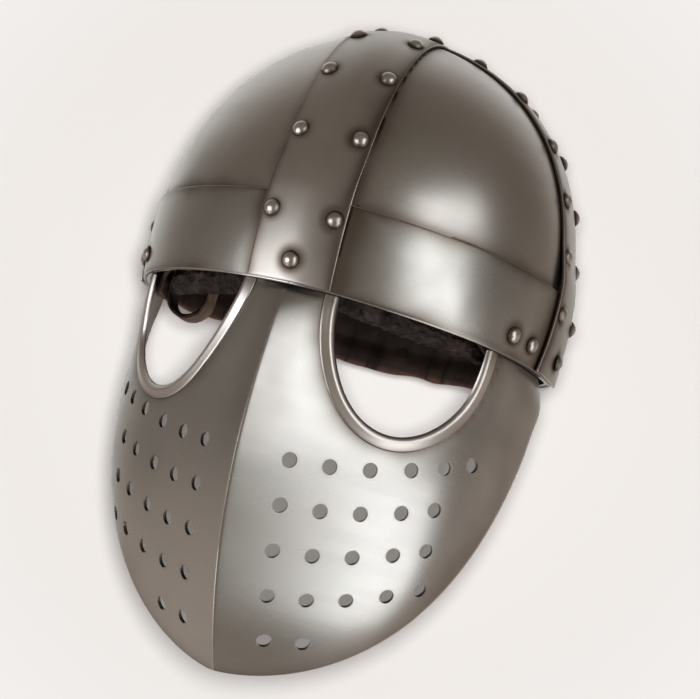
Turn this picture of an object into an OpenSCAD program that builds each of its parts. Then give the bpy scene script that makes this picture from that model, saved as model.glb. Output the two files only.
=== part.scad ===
// Skull cap helmet: four skull plates under a cross of riveted bands, a brow band,
// a fixed face mask with rimmed eyes and breath holes, a leather liner and a chin strap.
// The helmet faces -Y, the wearer's left is +X, and the brow rim lies in the plane z = 0.

/* [Skull] */
// Half width of the skull plates, without their tuck at the rim
side_reach = 96.5; // [92:0.5:104]
// Reach of the skull plates in front of the rim centre
front_reach = 97; // [92:0.5:104]
// Reach of the skull plates behind the rim centre
rear_reach = 110; // [102:0.5:120]
// Height of the crown above the brow rim
crown_h = 139.5; // [130:0.5:150]
// How far the sides of the dome lean forward between rim and crown
crown_lean = 6; // [3:0.5:8]
// How far each side tucks in at the rim
rim_tuck = 1.8; // [0:0.1:4]
// Power of the plan across the helmet, less gives a sharper nose
nose_power = 1.5; // [1.4:0.05:1.9]
// Power of the plan along its front half, more gives flatter sides
front_power = 2.4; // [2:0.05:2.6]
// Power of the plan along its rear half
rear_power = 1.6; // [1.5:0.05:2]
// Power of the plan across the nape, more gives a rounder back
nape_power = 2.1; // [1.8:0.05:2.4]
// Power of the dome profile, more gives a fuller shoulder
dome_power = 2.7; // [2.5:0.05:2.9]
// Thickness of the steel sheet of plates, bands and mask
sheet_t = 1.5; // [1:0.1:2]
// How much higher the rim is at the nape than at the brow
nape_rise = 9; // [0:0.5:14]

/* [Bands] */
// Height of the brow band
brow_h = 36; // [32:0.5:42]
// Width of each arm of the cross band
band_w = 36.4; // [32:0.2:42]
// Place of the ear-to-ear arm, forward of the rim centre
band_forward = 10.8; // [7:0.2:15]
// Length of the joggle where the cross band climbs on the brow band
joggle = 9; // [6:0.5:14]

/* [Rivets] */
// Distance between the two rows of rivets on an arm
row_gap = 25.6; // [22:0.2:28]
// Diameter of a rivet head
head_d = 7.5; // [5:0.25:8]
// Height of a rivet head
head_h = 2.4; // [1.2:0.1:3]
// Diameter of a rivet shank
shank_d = 3.2; // [2.6:0.1:3.6]
// Height above the rim of the nose, nape and ear rivets
low_rivet_z = 9; // [8:0.25:11]
// Turn of the front temple rivet from straight ahead
temple_turn = 59.5; // [58:0.5:61]
// Turn between the two temple rivets
temple_step = 8; // [6.5:0.5:8.5]

/* [Mask] */
// Drop from the brow rim to the chin tip
chin_drop = 157.5; // [145:0.5:170]
// Furthest reach of the mask's keel
keel_reach = 103.5; // [100:0.5:108]
// Drop at which the keel reaches furthest
keel_drop = 40; // [32:1:48]
// How far the keel falls back from there to the chin tip
chin_back = 52; // [40:1:62]
// Sweep of the cheeks back from the keel, as a slope
cheek_slope = 0.7; // [0.6:0.01:0.78]
// Half width of the mask across the cheeks
cheek_half_w = 97; // [94:0.5:100]
// Height of the mask's tabs inside the brow
tab_h = 14; // [13:0.5:18]

/* [Eyes and breaths] */
// Distance of an eye opening's centre from the keel
eye_x = 48.5; // [46:0.5:50]
// Half width of an eye opening
eye_half_w = 28.5; // [25:0.5:30]
// Depth of an eye opening below the rim
eye_deep = 47.8; // [42:0.2:50]
// Width of the rolled eye rim
rim_w = 5.2; // [4:0.1:6]
// How far the eye rim stands off the mask
rim_h = 1.8; // [1.2:0.1:2.4]
// Diameter of a breath hole
breath_d = 6.4; // [4:0.2:7.5]
// Drop of the first row of breath holes at the keel
breath_top = 69; // [67:0.5:72]
// Distance between the rows of breath holes
breath_row = 18; // [16:0.25:18.5]
// Rise of a row towards the ears
breath_rise = 19.5; // [16:0.5:22]
// How fast this rise grows from the top row to the lower rows
breath_fan = 0.5; // [0:0.05:0.8]

/* [Liner] */
// Thickness of the liner leather
leather_t = 2.2; // [1.6:0.1:2.6]
// How far the headband hangs below the rim
headband_drop = 3; // [1:0.25:5]
// Height of the headband above the rim
headband_h = 38; // [36:0.5:42]
// Diameter of the padded brow roll
roll_d = 12; // [9:0.5:14]
// How far the leaves stand off the crown for the wearer's head
crown_space = 18; // [12:0.5:22]
// Diameter of the crown lace
lace_d = 3; // [2:0.1:4]

/* [Chin strap] */
// Width of the chin strap
strap_w = 10; // [9:0.5:12]
// Thickness of the chin strap
strap_t = 2; // [1.6:0.1:2.4]
// Radius of the stowed loop at the strap's middle
loop_r = 9.4; // [8:0.2:10.4]
// Height to which the stowed tail reaches
tail_top = 58; // [45:1:70]
// Drop of the buckle bar below the rim
buckle_drop = 42; // [36:1:46]
// Width of the buckle frame between wire centres
buckle_w = 15; // [14:0.5:18]
// Length of the buckle frame between wire centres
buckle_l = 15; // [13:0.5:18]
// Diameter of the buckle wire
wire_d = 2.6; // [2:0.1:3]

/* [Hidden] */
$fn = 32;

steel = "#9a958e";
dark_steel = "#7f7b75";
leather = "#2c211d";
suede = "#5b4436";

// Gaps between layers that are riveted together, under a rivet's head, and over its tail,
// which sits in the hollow of a sheet
layer_gap = 0.4;
seat_gap = 0.12;
foot_gap = 0.4;
// Radial play of a rivet in its hole, and of a pivot in its bore
hole_play = 0.15;
pivot_play = 0.06;
// Rounding of the plan outline where it crosses the middle
nose_soft = 6;
// Distances from the plates' outer face: layers outside count up, layers inside count down
brow_in = layer_gap;
brow_out = brow_in + sheet_t;
over_brow = brow_out;
cross_out = brow_out + layer_gap + sheet_t;
tab_out = -sheet_t - layer_gap;
tab_in = tab_out - sheet_t;
tail_h = 1;
tail_d = 5.8;
band_y = -band_forward;
arm_half = band_w / 2;
// Number of crown leaves, one node each
leaf_count = 8;
// Elevations of the rivets on the arms, seen from the middle of the rim
front_climb = [17.5, 36.3, 52, 66.5, 79.3];
rear_climb = [18.5, 36.5, 52, 67, 80];
side_climb = [16.2, 29.9, 42.3, 54, 65.6, 76.4];
// Distances of the breath holes from the keel, and how many each row has
breath_x = [18.5, 32.5, 46.5, 60.5, 71.5, 80.5];
breath_count = [6, 5, 5, 5, 2];

// Smooth step from 0 to 1
function ease(t) = let (u = min(1, max(0, t))) u * u * (3 - 2 * u);

// The skull is one closed form: a plan outline and a dome profile of fixed powers
function soft(v, power) = pow(v * v + nose_soft * nose_soft, power / 2) - pow(nose_soft, power);
function share(v, reach, power) = soft(v, power) / soft(reach, power);
function unshare(q, reach, power) =
  sqrt(max(0, pow(max(0, q) * soft(reach, power) + pow(nose_soft, power), 2 / power)
    - nose_soft * nose_soft));
plan_mean = 1.9;
// Distance behind the rim centre at which the plan has its nape power
nape_from = 70;
function across_power(y) = nose_power + (nape_power - nose_power) * ease(y / nape_from);
lean_span = 0.75 * crown_h;
tuck_h = 45;
function half_w(z) = side_reach - rim_tuck * pow(max(0, 1 - max(0, z) / tuck_h), 2);
function lean(z) = let (u = max(0, z) / lean_span) 4 * crown_lean * u * (1 - u);
function side_of(y) = y < 0 ? front_reach : rear_reach;

// Height of the steel rim at a place y, level in front and rising to the nape
rise_from = -20;
function rim_z(y) = nape_rise * ease((y - rise_from) / (rear_reach - rise_from));

// 1 where the cross band lies over the brow band, 0 where it lies on the plates
joggle_up = 1.2;
function on_brow(p) = 1 - ease((p.z - rim_z(p.y) - brow_h - joggle_up) / joggle);

// Below 0 inside the form grown by off, and above 0 outside it
function form(p, off) =
  let (y = p.y + lean(p.z),
       plan = share(p.x, half_w(p.z) + off, across_power(y))
         + share(y, side_of(y) + off, y < 0 ? front_power : rear_power))
  pow(plan, dome_power / plan_mean) + pow(max(0, p.z) / (crown_h + off), dome_power) - 1;

// Point where a ray leaves the grown form; climb is added where it lies over the brow band
function hit(from, dir, off, climb = 0, lo = 0, hi = 220, n = 18) =
  let (mid = (lo + hi) / 2, p = from + dir * mid)
  n == 0 ? p
  : form(p, off + (climb == 0 ? 0 : climb * on_brow(p))) > 0
    ? hit(from, dir, off, climb, lo, mid, n - 1)
    : hit(from, dir, off, climb, mid, hi, n - 1);

function unit(v) = v / norm(v);
function slope(p, axis) = form(p + axis * 0.05, 0) - form(p - axis * 0.05, 0);
function outward(p) = unit([slope(p, [1, 0, 0]), slope(p, [0, 1, 0]), slope(p, [0, 0, 1])]);

// Directions seen from the middle: turn from straight ahead to the wearer's left, and climb
function level(turn) = [sin(turn), -cos(turn), 0];
function aim(turn, climb) = [cos(climb) * sin(turn), -cos(climb) * cos(turn), sin(climb)];

// Closed sheet between two grids of points, and round a loop if its last column meets the first
module sheet(outer, inner, loop = false) {
  rows = len(outer);
  cols = len(outer[0]);
  count = rows * cols;
  wide = loop ? cols : cols - 1;
  function at(i, j) = i * cols + (j % cols);
  facing = cross(outer[1][1] - outer[1][0], outer[rows > 2 ? 2 : 0][0] - outer[1][0])
    * (outer[1][0] - inner[1][0]) * (rows > 2 ? 1 : -1) > 0;
  skin = [for (i = [0:rows - 2], j = [0:wide - 1]) each
    [[at(i, j), at(i, j + 1), at(i + 1, j + 1)], [at(i, j), at(i + 1, j + 1), at(i + 1, j)]]];
  edge = concat(
    [for (j = [0:wide - 1]) each [[at(0, j), at(0, j + 1)], [at(rows - 1, j + 1), at(rows - 1, j)]]],
    loop ? [] : [for (i = [0:rows - 2]) each
      [[at(i, cols - 1), at(i + 1, cols - 1)], [at(i + 1, 0), at(i, 0)]]]);
  closed(concat([for (r = outer) each r], [for (r = inner) each r]), skin, edge, count, facing);
}

// Polyhedron from one skin of triangles, its copy on the other face and walls along its edge
module closed(points, skin, edge, count, facing) {
  all_faces = concat(
    skin,
    [for (f = skin) [f[2] + count, f[1] + count, f[0] + count]],
    [for (e = edge) each [[e[1], e[0], e[0] + count], [e[1], e[0] + count, e[1] + count]]]);
  polyhedron(points, facing ? [for (f = all_faces) [f[2], f[1], f[0]]] : all_faces, convexity = 8);
}

// Rivets

function spot(from, dir) = let (p = hit(from, dir, 0)) [p, outward(p)];
front_spots = [for (s = [-1, 1], c = front_climb) spot([s * row_gap / 2, band_y, 0], aim(0, c))];
rear_spots = [for (s = [-1, 1], c = rear_climb) spot([s * row_gap / 2, band_y, 0], aim(180, c))];
function side_spots(side) =
  [for (s = [-1, 1], c = side_climb) spot([0, band_y + s * row_gap / 2, 0], aim(90 * side, c))];
nose_spot = spot([0, band_y, low_rivet_z], level(0));
nape_spot = spot([0, band_y, low_rivet_z + nape_rise], level(180));
function temple_spots(side) =
  [for (k = [0, 1]) spot([0, 0, low_rivet_z], level(side * (temple_turn + k * temple_step)))];
// The ear rivets point straight across, because the chin strap swings on them
function ear_spot(side) = [hit([0, band_y, low_rivet_z], level(90 * side), 0), [side, 0, 0]];

// Distance along a spot's own direction from the plates' outer face to the form grown by off
function off_at(spot, off) =
  (hit(spot[0] - spot[1] * 30, spot[1], off, 0, 0, 60) - spot[0]) * spot[1];

module along(spot) {
  n = spot[1];
  translate(spot[0]) rotate([0, acos(n.z), atan2(n.y, n.x)]) children();
}

// Holes through the layers at a list of spots
module holes(spots, r = shank_d / 2 + hole_play)
  for (s = spots) along(s) cylinder(r = r, h = 30, center = true);

// One rivet with a domed head outside, its shank and its flattened tail inside
module rivet(top, bottom) {
  base = top + seat_gap;
  foot = bottom - foot_gap;
  ball = (head_d * head_d / 4 + head_h * head_h) / (2 * head_h);
  spread = acos(1 - head_h / ball);
  rotate_extrude() polygon(concat(
    [[0, foot - tail_h], [tail_d / 2 - 0.4, foot - tail_h], [tail_d / 2, foot - 0.4],
     [tail_d / 2, foot], [shank_d / 2, foot], [shank_d / 2, base]],
    [for (k = [0:6]) let (a = spread * (1 - k / 6))
      [ball * sin(a), base + head_h - ball + ball * cos(a)]]));
}

// The rivets of an arm: the lowest of each row goes through the brow band and the headband
module arm_rivets(spots, per_row)
  for (k = [0:len(spots) - 1]) {
    low = k % per_row == 0;
    along(spots[k])
      rivet(off_at(spots[k], cross_out - (low ? 0 : over_brow)),
        off_at(spots[k], low ? clamp_in(spots[k][0]) : -sheet_t));
  }

// Skull plates

plate_turns = 15;
plate_climbs = 15;
joint_gap = 0.4;
function plate_point(turn, climb, off) =
  let (floor_z = rim_z(-cos(turn) * side_of(-cos(turn))) * (1 - climb / 90))
  hit([0, band_y, floor_z], aim(turn, climb), off);

module skull_plate(turn_from, spots) {
  middle = turn_from + 45;
  shift = [sign(sin(middle)), -sign(cos(middle)), 0] * joint_gap / 2;
  function grid(off) = [for (i = [0:plate_climbs]) [for (j = [0:plate_turns])
    plate_point(turn_from + 90 * j / plate_turns, 87 * i / plate_climbs, off) + shift]];
  color(steel) difference() {
    sheet(grid(0), grid(-sheet_t));
    holes(spots);
  }
}

module skull_plate_front_left()
  skull_plate(0, concat([for (s = front_spots) if (s[0].x > 0) s],
    [for (s = side_spots(1)) if (s[0].y < band_y) s], temple_spots(1), [nose_spot, ear_spot(1)]));
module skull_plate_front_right()
  skull_plate(270, concat([for (s = front_spots) if (s[0].x < 0) s],
    [for (s = side_spots(-1)) if (s[0].y < band_y) s], temple_spots(-1), [nose_spot, ear_spot(-1)]));
module skull_plate_rear_left()
  skull_plate(90, concat([for (s = rear_spots) if (s[0].x > 0) s],
    [for (s = side_spots(1)) if (s[0].y > band_y) s], [nape_spot, ear_spot(1)]));
module skull_plate_rear_right()
  skull_plate(180, concat([for (s = rear_spots) if (s[0].x < 0) s],
    [for (s = side_spots(-1)) if (s[0].y > band_y) s], [nape_spot, ear_spot(-1)]));

// Brow band

ring_turns = 80;
// Turn of a column of the ring: they lie closer at the nose, where the plan is sharp
function ring_turn(j) = let (t = 360 * j / ring_turns) t - 57.3 * (0.2 * sin(t) + 0.15 * sin(2 * t));
brow_rows = 3;
function ring_point(turn, up, off) =
  let (floor_z = rim_z(-cos(turn) * side_of(-cos(turn))))
  hit([0, 0, floor_z + up], level(turn), off);

module brow_band() {
  function grid(off) = [for (i = [0:brow_rows]) [for (j = [0:ring_turns - 1])
    ring_point(ring_turn(j), brow_h * i / brow_rows, off)]];
  low = concat(
    [for (s = front_spots) if (s[0].z < brow_h) s],
    [for (s = rear_spots) if (s[0].z < brow_h + nape_rise) s],
    [for (k = [-1, 1], s = side_spots(k)) if (s[0].z < brow_h) s],
    temple_spots(1), temple_spots(-1), [nose_spot, nape_spot, ear_spot(1), ear_spot(-1)]);
  color(steel) difference() {
    sheet(grid(brow_out), grid(brow_in), loop = true);
    holes(low);
  }
}

// Cross band: one grid runs front to rear, and the ear arms leave its middle rows

arm_cols = 8;
arm_rows = 18;
mid_rows = 6;
ear_cols = 14;
cross_rows = 2 * arm_rows + mid_rows;
mid_start = arm_rows;
mid_end = arm_rows + mid_rows;

function cross_x(j) = arm_half * (2 * j / arm_cols - 1);
function cross_y(i) = band_y + arm_half * (2 * (i - mid_start) / mid_rows - 1);
function cross_hit(from, dir, off) = hit(from, dir, off, over_brow);
function arm_climb(top, reach) = atan2(top.z, reach);
function cross_point(i, j, off) =
  j > arm_cols || j < 0
  ? let (side = j < 0 ? -1 : 1, k = j < 0 ? -j : j - arm_cols, y = cross_y(i),
         base = [0, y, 0], top = cross_hit([side * arm_half, y, 0], [0, 0, 1], off),
         climb = arm_climb(top, arm_half) * (1 - k / ear_cols))
    cross_hit(base + [0, 0, rim_z(y) * (k / ear_cols)], aim(90 * side, climb), off)
  : i < mid_start || i > mid_end
    ? let (front = i < mid_start, k = front ? mid_start - i : i - mid_end, x = cross_x(j),
           y_in = band_y + (front ? -1 : 1) * arm_half,
           top = cross_hit([x, y_in, 0], [0, 0, 1], off),
           climb = arm_climb(top, arm_half) * (1 - k / arm_rows),
           up = front ? 0 : nape_rise * k / arm_rows)
      cross_hit([x, band_y, up], aim(front ? 0 : 180, climb), off)
    : cross_hit([cross_x(j), cross_y(i), 0], [0, 0, 1], off);

module cross_band() {
  main = (cross_rows + 1) * (arm_cols + 1);
  wing = (mid_rows + 1) * ear_cols;
  function at(i, j) =
    j > arm_cols ? main + (i - mid_start) * ear_cols + j - arm_cols - 1
    : j < 0 ? main + wing + (i - mid_start) * ear_cols - j - 1
    : i * (arm_cols + 1) + j;
  function points(off) = concat(
    [for (i = [0:cross_rows], j = [0:arm_cols]) cross_point(i, j, off)],
    [for (i = [mid_start:mid_end], k = [1:ear_cols]) cross_point(i, arm_cols + k, off)],
    [for (i = [mid_start:mid_end], k = [1:ear_cols]) cross_point(i, -k, off)]);
  function cell(i, j) =
    [[at(i, j), at(i, j + 1), at(i + 1, j + 1)], [at(i, j), at(i + 1, j + 1), at(i + 1, j)]];
  skin = concat(
    [for (i = [0:cross_rows - 1], j = [0:arm_cols - 1]) each cell(i, j)],
    [for (i = [mid_start:mid_end - 1], j = [arm_cols:arm_cols + ear_cols - 1]) each cell(i, j)],
    [for (i = [mid_start:mid_end - 1], j = [-ear_cols:-1]) each cell(i, j)]);
  right = arm_cols + ear_cols;
  outline = concat(
    [for (j = [0:arm_cols]) at(0, j)],
    [for (i = [1:mid_start]) at(i, arm_cols)],
    [for (j = [arm_cols + 1:right]) at(mid_start, j)],
    [for (i = [mid_start + 1:mid_end]) at(i, right)],
    [for (k = [1:ear_cols]) at(mid_end, right - k)],
    [for (i = [mid_end + 1:cross_rows]) at(i, arm_cols)],
    [for (k = [1:arm_cols]) at(cross_rows, arm_cols - k)],
    [for (k = [1:arm_rows]) at(cross_rows - k, 0)],
    [for (k = [1:ear_cols]) at(mid_end, -k)],
    [for (k = [1:mid_rows]) at(mid_end - k, -ear_cols)],
    [for (k = [1:ear_cols]) at(mid_start, -ear_cols + k)],
    [for (k = [1:arm_rows - 1]) at(mid_start - k, 0)]);
  edge = [for (k = [0:len(outline) - 1]) [outline[k], outline[(k + 1) % len(outline)]]];
  color(steel) difference() {
    closed(concat(points(layer_gap + sheet_t), points(layer_gap)), skin, edge, main + 2 * wing, true);
    holes(concat(front_spots, rear_spots, side_spots(1), side_spots(-1),
      [nose_spot, nape_spot, ear_spot(1), ear_spot(-1)]));
  }
}

// Face mask

mask_cols = 32;
mask_rows = 29;
tab_rows = 2;
keel_soft = 2.5;
keel_fall = 2.2;
cheek_round = 6;
edge_power = 2.8;
// How much of the mask's half width its rear edge reaches
edge_share = 0.985;
edge_round = 0.571;
// Drop over which the round brow section turns into the keeled cheek section
keel_start = 35;

function keel(h) = h < keel_drop
  ? keel_reach - (keel_reach - front_reach - tab_out) * pow((keel_drop - h) / keel_drop, keel_soft)
  : keel_reach - chin_back * pow((h - keel_drop) / (chin_drop - keel_drop), keel_fall);
function turned(h) = sin(90 * min(1, max(0, h) / keel_start));
function mask_half(h) =
  let (rim_half = half_w(max(0, -h)) + tab_out) rim_half + (cheek_half_w - rim_half) * turned(2 * h);
function mask_wide(h) = mask_half(h) - 0.12 * cheek_half_w * pow(max(0, h) / 100, 3.5);
function edge_x(h) =
  mask_half(h) * edge_share * pow(1 - pow(max(0, h) / chin_drop, edge_power), edge_round);

// Outer face of the mask at a distance x from the keel and a drop h below the rim
function mask_y(x, h) =
  h < 0
  ? let (q = pow(1 - pow(-h / (crown_h + tab_out), dome_power), plan_mean / dome_power))
    -lean(-h) - unshare(q - share(x, half_w(-h) + tab_out, nose_power), front_reach + tab_out,
      front_power)
  : let (far = min(abs(x) / mask_wide(h), 0.9999), turn = turned(h), reach = front_reach + tab_out,
         half = half_w(0) + tab_out,
         brow = unshare(1 - share(far * half, half, nose_power), reach, front_power) / reach,
         cheek = pow(1 - pow(far, cheek_round), 1 / cheek_round))
    cheek_slope * turn * abs(x) - keel(h) * (brow * (1 - turn) + cheek * turn);
function mask_at(x, h) = [x, mask_y(x, h), -h];
function mask_out(x, h) =
  let (e = 0.05, a = mask_at(x + e, h) - mask_at(x, h), b = mask_at(x, h + e) - mask_at(x, h))
  unit(cross(b, a));
// Inner face: square to the outer one, and on the keel's bisector at the keel
function mask_inner(x, h) =
  abs(x) < 0.5
  ? let (k = cheek_slope * turned(h)) mask_at(0, h) + [0, sheet_t * sqrt(1 + k * k), 0]
  : let (s = sign(x), n = mask_out(abs(x), h))
    mask_at(x, h) - sheet_t * [s * n.x, n.y, n.z];
function mask_h(i) = i < tab_rows
  ? -tab_h * (1 - i / tab_rows)
  : chin_drop * (1 - pow(1 - (i - tab_rows) / (mask_rows + 0.2), 1.4));
function mask_x(i, j) = edge_x(mask_h(i)) * sin(90 * (2 * j / mask_cols - 1));

// Height of a breath hole's row at a distance x, and the holes themselves. They were drilled
// by hand: the rows rise a little more on the wearer's left.
hand_rise = 2;
function breath_h(side, row, x) = breath_top + row * breath_row
  - (breath_rise + row * row * breath_fan + side * hand_rise) * pow(x / 80, 2.2);
function breath_spots() = [for (s = [-1, 1], r = [0:4], k = [0:breath_count[r] - 1])
  let (x = breath_x[k], h = breath_h(s, r, x), n = mask_out(x, h))
  [mask_at(s * x, h), [s * n.x, n.y, n.z]]];

// Eye opening: an upright half ellipse below the rim, open above. The wearer's right one is
// a little deeper and swings out as it goes down, as it was cut by hand.
hand_deep = [2.2, 0];
hand_swing = [5.5, 0];
function eye_curve(side, a) =
  let (k = side < 0 ? 0 : 1, z = (eye_deep + hand_deep[k]) * sin(a))
  [eye_half_w * cos(a) + hand_swing[k] * ease(-z / keel_start), z];
module eye_cut(side) {
  steps = 32;
  shape = concat(
    [for (k = [0:steps]) let (c = eye_curve(side, 180 + 180 * k / steps)) [side * c.x, c.y]],
    [[side * eye_half_w, tab_h + 5], [-side * eye_half_w, tab_h + 5]]);
  translate([side * eye_x, -20, 0]) rotate([90, 0, 0])
    linear_extrude(height = 120) polygon(shape);
}

module face_mask() {
  rows = tab_rows + mask_rows;
  outer = [for (i = [0:rows]) [for (j = [0:mask_cols]) mask_at(mask_x(i, j), mask_h(i))]];
  inner = [for (i = [0:rows]) [for (j = [0:mask_cols]) mask_inner(mask_x(i, j), mask_h(i))]];
  color(dark_steel) difference() {
    sheet(outer, inner);
    eye_cut(1);
    eye_cut(-1);
    holes(breath_spots(), breath_d / 2);
    holes(concat([nose_spot], temple_spots(1), temple_spots(-1)));
  }
}

// Eye rims: a strip folded over the edge of the opening

rim_steps = 30;
rim_lip = 0.8;
rim_top = 0.4;
// Section of the strip: across points into the opening, up points off the mask, and below 0
// it points back through the opening, which is cut along Y
rim_section = [
  [-rim_w, 0.3], [-rim_w * 0.88, rim_h * 0.5], [-rim_w * 0.32, rim_h], [-0.1, rim_h * 0.85],
  [rim_lip + 0.2, 0.4], [rim_lip + 0.2, -sheet_t * 0.8], [0.2, -sheet_t * 0.8], [0.2, 0.3]
];
function rim_ring(side, k) =
  let (a = 180 + 180 * k / rim_steps, away = k == 0 || k == rim_steps ? rim_top : 0,
       c = eye_curve(side, a), b = eye_curve(side, a + 1) - eye_curve(side, a - 1),
       x = eye_x + c.x, h = max(-c.y, away), p = mask_at(x, h), n = mask_out(x, h),
       in = unit([-b.y, 0, b.x]),
       flat = in - n * (in * n), into = unit(flat))
  [for (s = rim_section) let (q = p + into * s.x + (s.y > 0 ? n * s.y : [0, -s.y, 0])) [side * q.x, q.y, min(q.z, -rim_top)]];

module eye_rim(side) {
  m = len(rim_section);
  rings = [for (k = [0:rim_steps]) rim_ring(side, k)];
  function at(k, j) = k * m + (j % m);
  sides = [for (k = [0:rim_steps - 1], j = [0:m - 1]) each
    [[at(k, j), at(k, j + 1), at(k + 1, j + 1)], [at(k, j), at(k + 1, j + 1), at(k + 1, j)]]];
  // The section is not convex, so its caps are cut along its own corners
  cap = [[0, 1, 7], [1, 2, 7], [2, 3, 7], [3, 4, 7], [4, 5, 7], [5, 6, 7]];
  faces = concat(sides,
    [for (f = cap) [at(0, f[2]), at(0, f[1]), at(0, f[0])]],
    [for (f = cap) [for (v = f) at(rim_steps, v)]]);
  color(steel) polyhedron([for (r = rings) each r],
    side > 0 ? faces : [for (f = faces) [f[2], f[1], f[0]]], convexity = 8);
}

// Liner

headband_low = tab_in - foot_gap - tail_h - 0.3;
headband_high = -sheet_t - layer_gap;
// Outer face of the headband: it clears the mask's tabs below and lies on the plates above
function headband_off(up) = headband_low + (headband_high - headband_low) * ease((up - tab_h - 1) / 9);
// Where a rivet that clamps the headband has its tail
function clamp_in(p) = headband_off(p.z - rim_z(p.y)) - leather_t;

module liner_headband() {
  rows = 6;
  function up(i) = -headband_drop + (headband_h + headband_drop) * i / rows;
  function grid(deep) = [for (i = [0:rows]) [for (j = [0:ring_turns - 1])
    ring_point(ring_turn(j), up(i), headband_off(up(i)) - deep)]];
  color(leather) difference() {
    sheet(grid(0), grid(leather_t), loop = true);
    holes(concat(
      [for (s = front_spots) if (s[0].z < headband_h) s],
      [for (s = rear_spots) if (s[0].z < headband_h + nape_rise) s],
      [for (k = [-1, 1], s = side_spots(k)) if (s[0].z < headband_h) s],
      [nape_spot, ear_spot(1), ear_spot(-1)]));
  }
}

// Padded roll under the brow, from temple to temple, a little lower at the temples
roll_turn = 66;
roll_steps = 30;
roll_sides = 10;
roll_off = headband_low - leather_t - layer_gap - roll_d / 2;
roll_sink = 3.5;
module liner_brow_roll() {
  function centre(t) = ring_point(t, 2.5 - roll_sink * ease(abs(t) / 45), roll_off);
  function radius(k) = roll_d / 2 * (0.35 + 0.65 * pow(sin(180 * k / roll_steps), 0.35));
  rings = [for (k = [0:roll_steps])
    let (t = roll_turn * (2 * k / roll_steps - 1), c = centre(t), r = radius(k),
         out = unit([c.x, c.y, 0]))
    [for (s = [0:roll_sides - 1]) let (a = 360 * s / roll_sides)
      c + r * (out * cos(a) + [0, 0, sin(a)])]];
  function at(k, j) = k * roll_sides + (j % roll_sides);
  color(suede) polyhedron([for (r = rings) each r], concat(
    [for (k = [0:roll_steps - 1], j = [0:roll_sides - 1]) each
      [[at(k, j), at(k + 1, j + 1), at(k, j + 1)], [at(k, j), at(k + 1, j), at(k + 1, j + 1)]]],
    [for (j = [1:roll_sides - 2]) [at(0, 0), at(0, j), at(0, j + 1)]],
    [for (j = [1:roll_sides - 2]) [at(roll_steps, 0), at(roll_steps, j + 1), at(roll_steps, j)]]),
    convexity = 8);
}

leaf_climb_low = 19.5;
leaf_climb_high = 79;
leaf_half_turn = 21.5;
leaf_taper = 6;
// Place of the crown lace, forward or behind the rim centre
leaf_y = 3;
leaf_rows = 10;
leaf_cols = 4;
function leaf_off(climb) =
  headband_high - leather_t - layer_gap
  - (crown_space - leather_t) * ease((climb - leaf_climb_low) / (leaf_climb_high - leaf_climb_low));
module liner_leaf(number) {
  middle = 360 / leaf_count * (number - 0.5);
  function grid(deep) = [for (i = [0:leaf_rows]) [for (j = [0:leaf_cols])
    let (t = i / leaf_rows, c = leaf_climb_low + (leaf_climb_high - leaf_climb_low) * t,
         turn = middle + (leaf_half_turn - leaf_taper * t) * (2 * j / leaf_cols - 1))
    hit([0, leaf_y, rim_z(-cos(turn) * rear_reach)], aim(turn, c), leaf_off(c) - deep)]];
  color(leather) sheet(grid(0), grid(leather_t));
}

// Lace that draws the leaf tips together, just under them
module liner_crown_lace() {
  tip = hit([0, leaf_y, 0], aim(0, leaf_climb_high - 1), leaf_off(leaf_climb_high - 1) - leather_t);
  color(suede) translate([0, leaf_y, tip.z - lace_d / 2 - 3.8])
    rotate_extrude() translate([abs(tip.y - leaf_y), 0]) circle(d = lace_d);
}

// Chin strap: both ends pivot on the ear rivets inside the headband

ear_wall = hit([0, band_y, low_rivet_z], [1, 0, 0], headband_low - leather_t).x;
// The wall curves in beside the ear, so the strap stands off it a little
strap_out = ear_wall - 1.5;
strap_mid = strap_out - strap_t / 2;
washer_d = 8;
washer_t = 1;
washer_x = strap_out - strap_t - seat_gap;
strap_end = 8;
loop_x = strap_mid - loop_r;
loop_z = 0;

// Outline of a strip of thickness t along a list of points
function strip(path, t) =
  let (last = len(path) - 1,
       side = [for (k = [0:last]) let (d = unit(path[min(k + 1, last)] - path[max(k - 1, 0)]))
         [-d.y, d.x] * t / 2])
  concat([for (k = [0:last]) path[k] + side[k]], [for (k = [0:last]) path[last - k] - side[last - k]]);

// Extrudes a side view of x and z over the strap's width
module strap_solid(side, w) mirror([side < 0 ? 1 : 0, 0, 0])
  translate([0, band_y + w / 2, 0]) rotate([90, 0, 0]) linear_extrude(height = w) children();

module ear_bore(side) translate([side * strap_out, band_y, low_rivet_z]) rotate([0, 90, 0])
  cylinder(r = shank_d / 2 + pivot_play, h = 30, center = true);

tail_x = loop_x - loop_r;
tail_holes = 4;
tail_pitch = 9;
module chin_strap_tail() {
  path = concat(
    [[strap_mid, low_rivet_z + strap_end], [strap_mid, low_rivet_z - 4.5]],
    [for (k = [0:16]) let (a = 180 * k / 16) [loop_x + loop_r * cos(a), loop_z - loop_r * sin(a)]],
    [[tail_x, tail_top]]);
  color(suede) difference() {
    strap_solid(-1, strap_w) polygon(strip(path, strap_t));
    ear_bore(-1);
    for (k = [0:tail_holes - 1])
      translate([-tail_x, band_y, tail_top - 8 - k * tail_pitch]) rotate([0, 90, 0])
        cylinder(d = wire_d + 0.6, h = 3 * strap_t, center = true);
  }
}

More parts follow.
